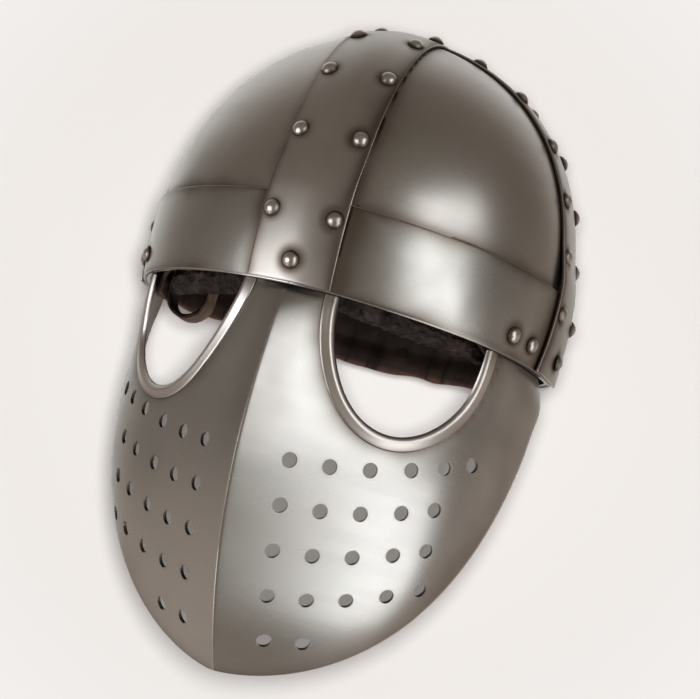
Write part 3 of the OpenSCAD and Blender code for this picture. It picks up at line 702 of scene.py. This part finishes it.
class SkullPlates(bpy.types.Operator):
    """Four domed plates between the arms of the cross band"""

    bl_idname = "helmet.skull_plates"
    bl_label = "Skull plates"

    def execute(self, context):
        names = ["front_left", "rear_left", "rear_right", "front_right"]
        for k, name in enumerate(names):
            start = 90 * k
            middle = math.radians(start + 45)
            gap = np.array([np.sign(math.sin(middle)), -np.sign(math.cos(middle)), 0]) * 0.2

            def shape(u, v):
                turn, climb = start + 90 * u, 87 * v
                origin = points(0, BAND_Y, rim_at(turn) * (1 - climb / 90))
                return hit(origin, aim(turn, climb), 0) + gap

            obj = sheet_from("plate_" + name, 88, 88, shape)
            face_out(obj)
            thicken(obj, SHEET)
            smooth(obj)
            p = in_mm(obj)
            d = np.minimum(arm_distance(p), p[:, 2] - rim_z(p[:, 1]) - BROW_H)
            # Patina fading away from the bands, and a dark line of painted contact shadow beside
            # them
            mark(obj, grime=fade(np.abs(d), 4) * 0.6, seam=seam_line(d, 0.8))
            dress(obj, "skull_plate_" + name, "skull_steel", "PlateSteel")
        return {"FINISHED"}


def ring(name, cols, rows, shape):
    """A closed band: shape takes the turn in degrees and the share v of its height."""
    obj = sheet_from(name, cols, rows, lambda u, v: shape(360 * u, v))
    weld(obj)
    face_out(obj)
    return obj


def ring_hit(turn, up, off):
    return hit(points(0, 0, rim_at(turn) + up), aim(turn, 0), off)


def band_marks(obj, edge, middle, extra, seam=0.0):
    """Patina of a band with a ring of painted shadow round each rivet, and its outer edges, worn
    bright with painted highlights.

    edge is the distance to its edge, and middle how far out the middle of its sheet lies."""
    p = in_mm(obj)
    around = near_spots(p, ALL_SPOTS, 9.0)
    mark(obj, grime=np.maximum(around**1.6 * 1.1, extra),
         seam=np.maximum(seam, held((around - 0.49) * 7) * 0.8),
         worn=np.where(form(p, middle) > 0, held(1.2 - edge / 0.5) * 0.7, 0))


class BrowBand(bpy.types.Operator):
    """Band round the rim, under the arms of the cross band"""

    bl_idname = "helmet.brow_band"
    bl_label = "Brow band"

    def execute(self, context):
        obj = ring("brow_ring", 420, 22, lambda turn, v: ring_hit(turn, BROW_H * v, BROW_OUT))
        thicken(obj, BROW_OUT - BROW_IN)
        soften(obj, size_of("edge"))
        smooth(obj)
        p = in_mm(obj)
        up = p[:, 2] - rim_z(p[:, 1])
        edge = np.minimum(up, BROW_H - up)
        arm = arm_distance(p)
        # Patina near the arms and edges, and a dark line of painted contact shadow beside the arms
        grime = np.maximum(fade(np.abs(arm), 7) * 0.7, fade(edge, 4) * 0.45)
        band_marks(obj, edge, (BROW_IN + BROW_OUT) / 2, grime, seam_line(arm, 0.5) * 0.85)
        dress(obj, "brow_band", "band_steel", "BandSteel")
        return {"FINISHED"}


class CrossBand(bpy.types.Operator):
    """Cross of two bands that meet on the crown and climb over the brow band"""

    bl_idname = "helmet.cross_band"
    bl_label = "Cross band"

    def execute(self, context):
        def top_hit(x, y):
            return hit(points(x, y, 0), points(0 * x, 0, 1), ARM_OUT, BROW_OUT)

        def climb_of(p):
            return np.degrees(np.arctan2(p[:, 2], ARM_HALF))

        def long_arm(u, v):
            """18 steps up the front, 6 over the crown and 18 down the rear."""
            i = 42 * v
            x = ARM_HALF * (2 * u - 1)
            p = top_hit(x, BAND_Y + ARM_HALF * (2 * held((i - 18) / 6) - 1))
            for turn, rise, k in ((0, 0, (18 - i) / 18), (180, NAPE_RISE, (i - 24) / 18)):
                arm = k > 0
                k = k[arm]
                aims = aim(turn, climb_of(p[arm]) * (1 - k))
                p[arm] = hit(points(x[arm], BAND_Y, k * rise), aims, ARM_OUT, BROW_OUT)
            return p

        def ear_arm(side):
            def shape(u, v):
                y = BAND_Y + ARM_HALF * (2 * v - 1)
                p = top_hit(side * ARM_HALF + 0 * u, y)
                aims = aim(90 * side, climb_of(p) * (1 - u))
                return hit(points(0, y, rim_z(y) * u), aims, ARM_OUT, BROW_OUT)
            return shape

        # The ear arms have as many rows as the long arm's 6 steps, so the vertices meet
        fine = 5
        parts = [sheet_from("cross_arms", 8 * fine, 42 * fine, long_arm)]
        parts += [sheet_from("arm", 14 * fine, 6 * fine, ear_arm(s)) for s in (1, -1)]
        for part in parts:
            face_out(part)
        obj = join(parts)
        weld(obj, 0.05)
        thicken(obj, SHEET)
        soften(obj, size_of("edge"))
        smooth(obj)
        p = in_mm(obj)
        x, y = ARM_HALF - np.abs(p[:, 0]), ARM_HALF - np.abs(p[:, 1] - BAND_Y)
        edge = np.where((x > 0) & (y > 0), np.hypot(x, y), np.maximum(x, y))
        foot = p[:, 2] - rim_z(p[:, 1])
        middle = BROW_IN + SHEET / 2 + BROW_OUT * on_brow(p)
        band_marks(obj, np.minimum(np.abs(edge), foot), middle, fade(edge, 3.5) * 0.55)
        dress(obj, "cross_band", "band_steel", "CrossSteel")
        return {"FINISHED"}


class FaceMask(bpy.types.Operator):
    """Keeled mask with eye openings and breath holes"""

    bl_idname = "helmet.face_mask"
    bl_label = "Face mask"

    def execute(self, context):
        crease = size_of("crease")
        tab_rows, rows = 12, 150

        def shape(u, v):
            i = v * (tab_rows + rows)
            t = pos(i - tab_rows) / (rows + 0.8)
            h = np.where(i < tab_rows, -TAB_H * (1 - i / tab_rows), CHIN * (1 - (1 - t) ** 1.4))
            s = 2 * u - 1
            x = edge_x(h) * sine(90 * (0.3 * s + 0.7 * s**3))
            return mask_at(x, h, crease)

        obj = sheet_from("mask_sheet", 168, tab_rows + rows, shape)
        face_out(obj, (0, 40, -60))
        thicken(obj, SHEET)
        cutter = self.cutter()
        apply(obj, "BOOLEAN", operation="DIFFERENCE", object=cutter, solver="EXACT")
        bpy.data.objects.remove(cutter)
        smooth(obj, 32)
        p = in_mm(obj)
        h = -p[:, 2]
        inside = np.linalg.norm(p - mask_at(p[:, 0], h), axis=1) > 0.6 * SHEET
        # The edge of a breath hole lies at a share of 0.48
        near = near_spots(p, breath_spots(), 6.2)
        eye = self.eye_distance(p)
        edge = np.where(h > 0, edge_x(pos(h)) - np.abs(p[:, 0]), 50)
        beside_keel = np.exp(-(p[:, 0] / 13) ** 2) * (1 - ease((h - 50) / 40))
        # Patina round the breath holes, toward the outline and beside the keel; darker under the
        # brow band and beside the eye rims, partly as painted shade
        grime = np.maximum.reduce([near**2 * 0.8, fade(eye - 4, 5) * 0.7, fade(edge, 12) * 0.45,
                                   fade(h, 9) * 0.55, beside_keel * 0.35])
        # Dark lines of painted contact shadow under the brow band and beside the eye rims, and
        # painted shade on the breath holes' rims
        seam = np.maximum.reduce([seam_line(h, 0.7) * 0.8, seam_line(eye - 4.4, 2.0) * 0.5,
                                  held((near - 0.44) * 12) * 0.5])
        # A painted highlight along the keel; bright sheet edges, worn and with painted highlights;
        # painted highlights on the breath holes' rims
        keel_highlight = held(1.3 - np.abs(p[:, 0]) / 0.45) * (h > 2)
        worn = np.maximum.reduce([keel_highlight * 0.65, held(1.2 - edge / 0.8) * 0.6,
                                  held((near - 0.4) * 9) * (near < 0.56) * 0.35])
        # The inner face is painted fully dark as painted shade
        mark(obj, grime=np.where(inside, 1, grime), seam=seam, worn=worn)
        dress(obj, "face_mask", "mask_steel", "MaskSteel")
        return {"FINISHED"}

    @staticmethod
    def eye_distance(p):
        best = np.full(len(p), 1e9)
        for side in (1, -1):
            x, z = eye_curve(side, np.linspace(180, 360, 90))
            curve = np.stack([side * (EYE_X + x), z], -1)
            d = np.linalg.norm(p[:, None, [0, 2]] - curve[None], axis=-1).min(1)
            best = np.minimum(best, np.where(p[:, 1] < 0, d, 1e9))
        return best

    @staticmethod
    def cutter():
        """Prisms through the eye openings and cylinders through the breath holes."""
        tools = []
        for side in (1, -1):
            x, z = eye_curve(side, np.linspace(180, 360, 97))
            # The openings go on up between the mask's tabs
            x, z = np.append(x, [EYE_HALF, -EYE_HALF]), np.append(z, [TAB_H + 5] * 2)
            clear()
            bpy.ops.mesh.primitive_circle_add(vertices=len(x), fill_type="NGON")
            tool = bpy.context.object
            place(tool, points(side * (EYE_X + x), -150, z) * MM)
            edit(tool, lambda: bpy.ops.mesh.extrude_region_move(
                TRANSFORM_OT_translate={"value": (0, 0.13, 0)}))
            edit(tool, outside_out)
            tools.append(tool)
        for p, n in breath_spots():
            clear()
            bpy.ops.mesh.primitive_cylinder_add(vertices=40, radius=HOLE_R * MM, depth=14 * MM)
            bpy.context.object.data.transform(stood(p, n))
            tools.append(bpy.context.object)
        return join(tools)


class EyeRims(bpy.types.Operator):
    """Rolled strips round the eye openings"""

    bl_idname = "helmet.eye_rims"
    bl_label = "Eye rims"

    # Across points into the opening, up points off the mask
    section = [(-5.2, 0.25), (-5.15, 0.55), (-4.9, 0.78), (-4.2, 1.0), (-3.3, 1.25), (-2.4, 1.55),
               (-1.8, 1.76), (-1.2, 1.82), (-0.5, 1.68), (0.2, 1.28), (0.7, 0.8), (1.0, 0.2),
               (1.0, -0.9), (0.85, -1.2), (0.35, -1.2), (0.2, -0.9), (0.2, 0.25)]

    def execute(self, context):
        for side, name in ((1, "left"), (-1, "right")):
            count = len(self.section)

            def shape(u, v):
                a = 180 + 180 * v
                x, z = eye_curve(side, a)
                along = np.subtract(eye_curve(side, a + 0.5), eye_curve(side, a - 0.5))
                h = np.maximum(-z, 0.4 * ((v < 1e-6) | (v > 1 - 1e-6)))
                p, n = mask_at(EYE_X + x, h), mask_out(EYE_X + x, h)
                inward = unit(points(-along[1], 0, along[0]))
                flat = unit(inward - n * (inward * n).sum(1, keepdims=True))
                s = np.array(self.section)[np.round(u * count).astype(int) % count]
                up = np.where(s[:, 1:] > 0, n * s[:, 1:], points(0, -s[:, 1], 0))
                q = p + flat * s[:, :1] + up
                q[:, 2] = np.minimum(q[:, 2], -0.4)
                q[:, 0] *= side
                return q

            obj = sheet_from("rim_" + name, count, 150, shape)
            weld(obj, 0.005)
            close_ends(obj)
            smooth(obj, 40)
            p = in_mm(obj)
            across = FaceMask.eye_distance(p)
            # Darker toward the top under the brow band and on the outer flat, as painted shade with
            # patina; the outer contour gets a dark line of painted contact shadow
            mark(obj, grime=np.maximum(held(1 + p[:, 2] / 12), held(across / 3 - 0.9)) * 0.6,
                 seam=held((across - 4.3) / 0.9) * 0.8)
            dress(obj, "eye_rim_" + name, "rim_steel", "RimSteel")
        return {"FINISHED"}


def turned_piece(profile):
    """A piece turned on a lathe: a disc, extruded and scaled from ring to ring of a profile."""
    clear()
    bpy.ops.mesh.primitive_circle_add(vertices=28, radius=profile[0][0] * MM,
                                      location=(0, 0, profile[0][1] * MM), fill_type="NGON")
    obj = bpy.context.object
    bpy.ops.object.transform_apply(location=True)

    def build():
        for (r0, z0), (r1, z1) in zip(profile, profile[1:]):
            step = {"value": (0, 0, (z1 - z0) * MM)}
            bpy.ops.mesh.extrude_region_move(TRANSFORM_OT_translate=step)
            bpy.ops.transform.resize(value=(r1 / r0, r1 / r0, 1))
        outside_out()

    edit(obj, build)
    smooth(obj, 40)
    return obj


class Rivets(bpy.types.Operator):
    """Domed rivets of the bands, the mask and the ears"""

    bl_idname = "helmet.rivets"
    bl_label = "Rivets"

    def execute(self, context):
        r, tall = size_of("head_d") / 2, size_of("head_h")
        ball = (r * r + tall * tall) / (2 * tall)
        spread = math.acos(1 - tall / ball)
        dome = [(ball * math.sin(spread * k / 9), tall - ball + ball * math.cos(spread * k / 9))
                for k in range(8, 0, -1)]
        dome = [(r - 0.12, 0.0), (r, 0.12)] + [(a, max(b, 0.16)) for a, b in dome] + [(0.05, tall)]
        shank = [(2.7, -11.0), (2.9, -10.8), (2.9, -10.2), (2.5, -10.0), (1.6, -9.98), (1.6, -0.02)]
        master = turned_piece(shank + dome)
        for name, spots in SPOTS.items():
            row = len(spots) // 2 if "_arm" in name else 1
            copies = []
            for k, (p, n) in enumerate(spots):
                top, foot = self.reach(name, p, n, k % row == 0, tall)
                copies.append(self.copy_of(master, p, n, top, foot, k + len(name)))
            obj = join(copies)
            obj.name = obj.data.name = name.replace("rivet", "stud")
            dress(obj, name, "rivet_steel", "RivetSteel")
        bpy.data.objects.remove(master)
        return {"FINISHED"}

    @staticmethod
    def reach(name, p, n, low, tall):
        """Heights of a rivet's seat and foot over the plates; low ones hold the brow band too."""
        if name.startswith("rivet_ear"):
            near, far = sorted(abs(corner.x) / MM - abs(p[0]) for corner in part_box(name))
            return far - tall, near
        temple = name.startswith("rivets_temple")
        seat, foot = BROW_OUT if temple else ARM_OUT + BROW_OUT * low, -SHEET
        if temple or name == "rivet_nose":
            foot = TAB_OUT - SHEET
        elif low:
            foot = headband_off(p[2] - rim_z(p[1])) - LEATHER
        return off_at(p, n, seat) + HEAD_OFF, off_at(p, n, foot) - PLAY - TAIL_H

    @staticmethod
    def copy_of(master, p, n, top, foot, seed):
        """A copy turned to n at p, with its head lifted to top and its tail to foot."""
        obj = copied(master)
        co = coords(obj)
        z, radius = co[:, 2] / MM, np.hypot(co[:, 0], co[:, 1]) / MM
        head, tail = z > -0.001, z < -5
        # Heads darken toward their rim as painted shade with patina, with a dark line of painted
        # shadow at the rim and a painted highlight on top; tails are painted dark as shade
        mark(obj, grime=np.where(head, held((radius - 2.3) / 1.3) ** 2 * 0.9, 0.8),
             seam=np.where(head, held((radius - 3.3) / 0.4) * 0.7, 1),
             worn=np.where(head, held(1 - radius / 2.6) * 0.6, 0))
        rng = np.random.RandomState(seed)
        tilt = 1 + 0.05 * (rng.rand() - 0.5) * co[:, 0] / (3.5 * MM)
        co[:, 2] = np.where(tail, z + foot + 11, np.where(head, z * tilt, z) + top) * MM
        place(obj, co)
        obj.data.transform(stood(p, n) @ Matrix.Rotation(rng.rand() * 6.28, 4, "Z"))
        return obj


# Liner

def rough_field(p, scale, seed, octaves):
    """Smooth noise at points in millimetres, from about -1 to 1."""
    shift = Vector((seed * 7.3, seed * 3.1, seed * 5.7))
    return np.array([noise.fractal(Vector(q) * scale + shift, 0.9, 2.1, octaves) for q in p])


class Headband(bpy.types.Operator):
    """Pleated leather band round the head"""

    bl_idname = "helmet.headband"
    bl_label = "Headband"

    def execute(self, context):
        pleat = size_of("pleat")
        clear_of = SPOTS["rivet_nape"] + SPOTS["rivet_ear_left"] + SPOTS["rivet_ear_right"]

        def shape(turn, v):
            wave = 0.7 * sine(turn * 11) + 0.5 * sine(turn * 23 + 40)
            front = 1 - ease((np.abs((turn + 180) % 360 - 180) - 50) / 14)
            up = -3 + 5.5 * front * (1 - v) + 41 * v + 0.7 * wave * (1 - v) ** 3
            p = ring_hit(turn, up, headband_off(up))
            deep = pleat * self.folds(turn, v) * ease(v / 0.1 + 0.25) * (1 - ease((v - 0.6) / 0.3))
            deep = deep * (1 - ease(near_spots(p, clear_of, 16.0) * 2))
            return p - aim(turn, 0) * deep[:, None]

        obj = ring("headband_leather", 540, 30, shape)
        thicken(obj, LEATHER)
        soften(obj, 0.5)
        smooth(obj, 60)
        p = in_mm(obj)
        up = p[:, 2] - rim_z(p[:, 1])
        turn = np.degrees(np.arctan2(p[:, 0], -p[:, 1]))
        back = held((np.abs(turn) - 62) / 12)
        valley = 1 - ease(np.abs(self.folds(turn, (up + 3) / 41) - 0.35) / 0.16)
        # The fold mark paints shade in the pleat valleys, and makes the band darker toward the top
        mark(obj, raw=held((2 - up) / 5) * 0.8 * back,
             fold=np.maximum(valley * 0.9, np.clip((up - 4) / 20, 0, 0.85)))
        dress(obj, "liner_headband", "liner_leather", "HeadbandHide")
        return {"FINISHED"}

    @staticmethod
    def folds(turn, v):
        """Depth of the folds at a turn round the head and a share of the band's height."""
        fold = np.abs(sine(turn * 8.5 + 25 * sine(turn * 3) + 14 * v))
        fold = (1 - fold) ** 2.2 + 0.25 * pos(sine(turn * 41 + 60 * v))
        return fold * (0.5 + 0.5 * sine(turn * 7 + 30) ** 2)


class BrowRoll(bpy.types.Operator):
    """Padded suede roll under the brow"""

    bl_idname = "helmet.brow_roll"
    bl_label = "Brow roll"

    def execute(self, context):
        deep, thick = size_of("crumple"), 6
        off = HEADBAND_LOW - LEATHER - PLAY - thick

        def shape(u, v):
            turn = 66 * (2 * v - 1)
            up = 2.5 - 3.5 * ease(np.abs(turn) / 45)
            c = ring_hit(turn, up, off)
            r = thick * (0.35 + 0.65 * np.maximum(sine(180 * v), 1e-6) ** 0.35)
            way = unit(c * [1, 1, 0]) * cosine(360 * u)[:, None] + points(0, 0, sine(360 * u))
            p = c + way * r[:, None]
            crease = rough_field(p * [1, 1, 1.6], 0.11, 1, 3)
            fine = rough_field(p, 0.42, 2, 2)
            sink = deep * (np.abs(crease) ** 0.7 * 1.7 - 0.25) + 0.35 * fine
            return p - way * np.clip(sink, -0.15, 2.6)[:, None]

        obj = sheet_from("roll_suede", 56, 380, shape)
        weld(obj)
        close_ends(obj)
        smooth(obj, 70)
        dress(obj, "liner_brow_roll", "roll_suede", "RollSuede")
        return {"FINISHED"}


class CrownLeaves(bpy.types.Operator):
    """Eight leather leaves and the lace that draws them together"""

    bl_idname = "helmet.crown_leaves"
    bl_label = "Crown leaves and lace"

    def execute(self, context):
        low, high = 19.5, 79.0
        base = HEADBAND_HIGH - LEATHER - PLAY
        for n in range(1, 9):
            middle = 45 * (n - 0.5)

            def shape(u, v):
                climb = low + (high - low) * v
                half = (21.5 - 6 * v) * (1 - 0.5 * ease((v - 0.86) / 0.14))
                turn = middle + half * (2 * u - 1)
                off = base - (18 - LEATHER) * ease(v)
                floor = rim_z(-cosine(turn) * REAR)
                p = hit(points(0, 3, floor), aim(turn, climb), off)
                curl = 0.35 * np.sin(v * 19 + n) * (2 * u - 1) ** 2
                return p * (1 - pos(curl) / 110)[:, None]

            obj = sheet_from(f"leaf_{n}", 26, 60, shape)
            face_out(obj, (0, 0, 30))
            thicken(obj, LEATHER)
            soften(obj, 0.4)
            smooth(obj, 60)
            dress(obj, f"liner_leaf_{n}", "liner_leather", "LeafHide")
        near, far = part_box("liner_crown_lace")
        middle, half = (near + far) / 2, (far - near) / 2
        wide = half.x - half.z
        clear()
        bpy.ops.mesh.primitive_torus_add(major_segments=220, minor_segments=14, major_radius=wide,
                                         minor_radius=half.z, location=middle)
        lace = bpy.context.object
        bpy.ops.object.transform_apply(location=True)
        lace.name = lace.data.name = "crown_lace"
        co = coords(lace) - middle
        around = np.arctan2(co[:, 1], co[:, 0])
        across = np.arctan2(co[:, 2], np.hypot(co[:, 0], co[:, 1]) - wide)
        twist = 1 - 0.13 * (0.5 + 0.5 * np.cos(2 * across + 26 * around))
        core = points(np.cos(around), np.sin(around), 0) * wide
        place(lace, core + (co - core) * twist[:, None] + middle)
        smooth(lace, 80)
        dress(lace, "liner_crown_lace", "lace", "LaceHide")
        return {"FINISHED"}


# Chin strap

def from_node(node, name, width, *finish):
    """A copy of a solid with rounded edges; its finish is a slot, which is not used, a paint and a
    body.
    """
    obj = copied(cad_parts[node])
    for key in list(obj.keys()):
        del obj[key]
    obj.name = obj.data.name = name
    obj.parent = None
    obj.hide_render = obj.hide_viewport = False
    weld(obj, 0.002)
    edit(obj, lambda: bpy.ops.mesh.dissolve_limited(angle_limit=math.radians(1)))
    soften(obj, width, 40)
    smooth(obj, 40)
    dress(obj, node, *finish)
    return obj


class ChinStrap(bpy.types.Operator):
    """Both ends of the chin strap and its keeper, dyed on the side that faces the head"""

    bl_idname = "helmet.chin_strap"
    bl_label = "Chin strap"

    def execute(self, context):
        dyed = ("strap_leather", "StrapHide")
        tail = from_node("chin_strap_tail", "strap_tail", 0.35, *dyed, "strap_tail")
        p = in_mm(tail)
        outer, inner = (corner.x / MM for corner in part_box("chin_strap_tail"))
        loop_x, loop_r = (inner + outer) / 2, (inner - outer) / 2 - 1
        reach = np.hypot(p[:, 0] - loop_x, np.minimum(0, p[:, 2]))
        mark(tail, raw=held((reach - loop_r - 0.55) / 0.2))
        end = from_node("chin_strap_buckle_end", "strap_buckle_end", 0.3, *dyed, "strap_buckle_end")
        p = in_mm(end)
        mark(end, raw=held((p[:, 0] - 83.2) / 0.4) * (p[:, 2] < -12))
        from_node("strap_keeper", "keeper_loop", 0.3, *dyed, "keeper")
        return {"FINISHED"}


class Buckle(bpy.types.Operator):
    """Buckle frame, prong, buckle rivet and the washers at the ears"""

    bl_idname = "helmet.buckle"
    bl_label = "Buckle and washers"

    def execute(self, context):
        paint = "BuckleSteel"
        from_node("buckle_prong", "buckle_prong_round", 0.3, "buckle_steel", paint, "prong")
        riveted = ("rivet_steel", paint)
        from_node("buckle_rivet", "buckle_rivet_round", 0.3, *riveted, "strap_buckle_end")
        for side in ("left", "right"):
            from_node("strap_washer_" + side, f"ear_washer_{side}_round", 0.2, *riveted)
        # The buckle's frame is shown as its solid
        coat(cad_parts["buckle_frame"], paint)
        return {"FINISHED"}


# Studio: the camera's place and axes, which the rest of it follows

CAMERA_AT = Vector((0.20441, -0.6551, -0.11552))
RIGHT = Vector((0.93170189, 0.24041066, 0.27227617))
DOWN = Vector((0.21835519, 0.22831592, -0.94878493))
FORWARD = Vector((-0.290263, 0.94343763, 0.16022746))
FACING = Matrix((RIGHT, -DOWN, -FORWARD)).transposed().to_4x4()

# Strips of light: degrees to the camera's right and below it, width and height in metres, and
# radiance. The strip of each side is cut in parts that bend round the helmet.
LAMP_FAR = 0.8
STRIPS = {
    "KeyTop": (42, -20, 0.42, 0.2, 2.1),
    "KeyHigh": (33.5, 0, 0.35, 0.36, 2.3),
    "KeyLow": (41, 37, 0.38, 0.66, 2.0),
    "FillHigh": (-49, 1, 0.56, 0.5, 2.9),
    "FillLow": (-60, 38, 0.36, 0.3, 0.9)}

# Colours of the room, from behind the camera to ahead of it
ROOM = [(0.0, (0.24, 0.195, 0.15)), (0.42, (0.22, 0.18, 0.142)), (0.6, (0.2, 0.165, 0.133)),
        (0.72, (0.24, 0.2, 0.165)), (0.82, (0.44, 0.4, 0.36)), (0.93, (0.8, 0.78, 0.75))]
ROOM_SIDES = (0.5, 0.41, 0.35)


def put(name, data, at, turned):
    """A camera or lamp in the scene."""
    obj = bpy.data.objects.new(name, data)
    obj.matrix_world = Matrix.Translation(at) @ turned
    return linked(obj)


class Studio(bpy.types.Operator):
    """Pale floor and backdrop, soft lamps, the world and the camera"""

    bl_idname = "helmet.studio"
    bl_label = "Studio"

    def execute(self, context):
        scene, paper = context.scene, tuple(context.scene.helmet_colours.paper)
        scene.view_settings.view_transform = "Standard"
        scene.camera = put("Camera", bpy.data.cameras.new("Camera"), CAMERA_AT, FACING)
        lens = scene.camera.data
        lens.lens, lens.sensor_width, lens.clip_start = 77.2, 36, 0.01
        self.world(scene, paper)
        down = Matrix.Translation((0, 0, -0.9))
        self.sheet("Floor", 12, down, ["glossy"], paper, 1.2, 3.0, 0.7)
        upright = Matrix.Translation(FORWARD * 0.17) @ FACING
        hidden = ["glossy", "diffuse", "shadow", "transmission"]
        self.sheet("Backdrop", 1.6, upright, hidden, paper, 0.155, 0.3, 0.04)
        for name, strip in STRIPS.items():
            self.strip(name, *strip)
        # A lamp for the paper alone, whose light also comes through the eye openings
        beside = CAMERA_AT + RIGHT * 0.008 - DOWN * 0.01
        self.lamp("PaperLamp", beside, FACING, "INCLUDE", shape="DISK", size=0.06, energy=17)
        return {"FINISHED"}

    @staticmethod
    def lamp(name, at, turned, reach, **form):
        """An area lamp that lights all but the backdrop (EXCLUDE), or nothing else (INCLUDE)."""
        light = bpy.data.lights.new(name, "AREA")
        for key, value in form.items():
            setattr(light, key, value)
        group = bpy.data.collections.new(name + "Reach")
        group.objects.link(bpy.data.objects["Backdrop"])
        group.collection_objects[0].light_linking.link_state = reach
        put(name, light, at, turned).light_linking.receiver_collection = group

    def strip(self, name, turn, drop, wide, tall, glow):
        t, d = math.radians(turn), math.radians(drop)
        level = RIGHT * math.sin(t) - FORWARD * math.cos(t)
        z = (level * math.cos(d) + DOWN * math.sin(d)).normalized()
        x = DOWN.cross(z).normalized()
        turned = Matrix((x, z.cross(x), z)).transposed().to_4x4()
        self.lamp(name, z * LAMP_FAR, turned, "EXCLUDE", shape="RECTANGLE",
                  size=wide, size_y=tall, energy=glow * math.pi * wide * tall)

    @staticmethod
    def world(scene, paper):
        scene.world = scene.world or bpy.data.worlds.new("World")
        scene.world.use_nodes = True
        n = Nodes(scene.world.node_tree)
        way = n.node("TexCoord", output="Generated")
        ahead, down = n.along(way, FORWARD), n.along(way, DOWN)
        height = (ahead * 0.9 - down * 0.35) * 0.5 + 0.5
        room = n.node("ValToRGB", {"stops": ROOM}, {0: height})
        low = n.clamp(down, -0.3, 0.4) * n.clamp(ahead, -0.5, 0.1) * n.clamp(ahead, 0.95, 0.6)
        room = n.mix(low, room, ROOM_SIDES)
        seen = n.mix(n.node("LightPath", output="Is Camera Ray"), room, paper)
        n.node("OutputWorld", None, {0: n.node("Background", None, {0: seen})})

    @staticmethod
    def stage_paint(name, paper, near, far, share):
        """Paper that shows soft shadows near its middle only."""
        p = Paint(name, roughness=0.9)
        p.set("Base Color", tinted(paper, 0.38))
        p.set("Specular IOR Level", 0)
        glow = p.node("Emission", None, {0: paper})
        away = p.node("VectorMath", {"operation": "LENGTH"}, {0: p.place}, output="Value")
        lit = p.node("MixShader", None, {
            0: p.clamp(away, near, far, share, 1.0), 1: Wire(p, p.shader.outputs[0]), 2: glow})
        both = p.node("MixShader", None, {
            0: p.node("NewGeometry", output="Backfacing"), 1: lit, 2: p.node("BsdfTransparent")})
        p.feed(p.out.inputs[0], both)
        return p.material

    def sheet(self, name, size, turned, hidden, *paint):
        """A square of paper, hidden from some kinds of rays."""
        clear()
        bpy.ops.mesh.primitive_plane_add(size=size)
        obj = bpy.context.object
        obj.name, obj.matrix_world = name, turned
        obj.data.materials.append(self.stage_paint(name + "Paper", *paint))
        for ray in hidden:
            setattr(obj, "visible_" + ray, False)


OPERATORS = (SkullPlates, BrowBand, CrossBand, FaceMask, EyeRims, Rivets, Headband, BrowRoll,
             CrownLeaves, ChinStrap, Buckle, Studio)


class HelmetPanel(bpy.types.Panel):
    """Sizes, colours and the helmet's pieces"""

    bl_idname = "VIEW3D_PT_helmet"
    bl_label = "Skull cap helmet"
    bl_space_type = "VIEW_3D"
    bl_region_type = "UI"
    bl_category = "Helmet"

    def draw(self, context):
        column = self.layout.column()
        for group in (context.scene.helmet_sizes, context.scene.helmet_colours):
            for name in group.bl_rna.properties.keys():
                if name not in ("rna_type", "name"):
                    column.prop(group, name)
        for operator in OPERATORS:
            column.operator(operator.bl_idname)


CLASSES = (HelmetSizes, HelmetColours, *OPERATORS, HelmetPanel)


def register():
    for c in CLASSES:
        bpy.utils.register_class(c)
    bpy.types.Scene.helmet_sizes = bpy.props.PointerProperty(type=HelmetSizes)
    bpy.types.Scene.helmet_colours = bpy.props.PointerProperty(type=HelmetColours)


def unregister():
    del bpy.types.Scene.helmet_sizes, bpy.types.Scene.helmet_colours
    for c in reversed(CLASSES):
        bpy.utils.unregister_class(c)


def main():
    register()
    for operator in OPERATORS:
        getattr(bpy.ops.helmet, operator.bl_idname.split(".")[1])()
    clear()


if __name__ == "__main__":
    main()
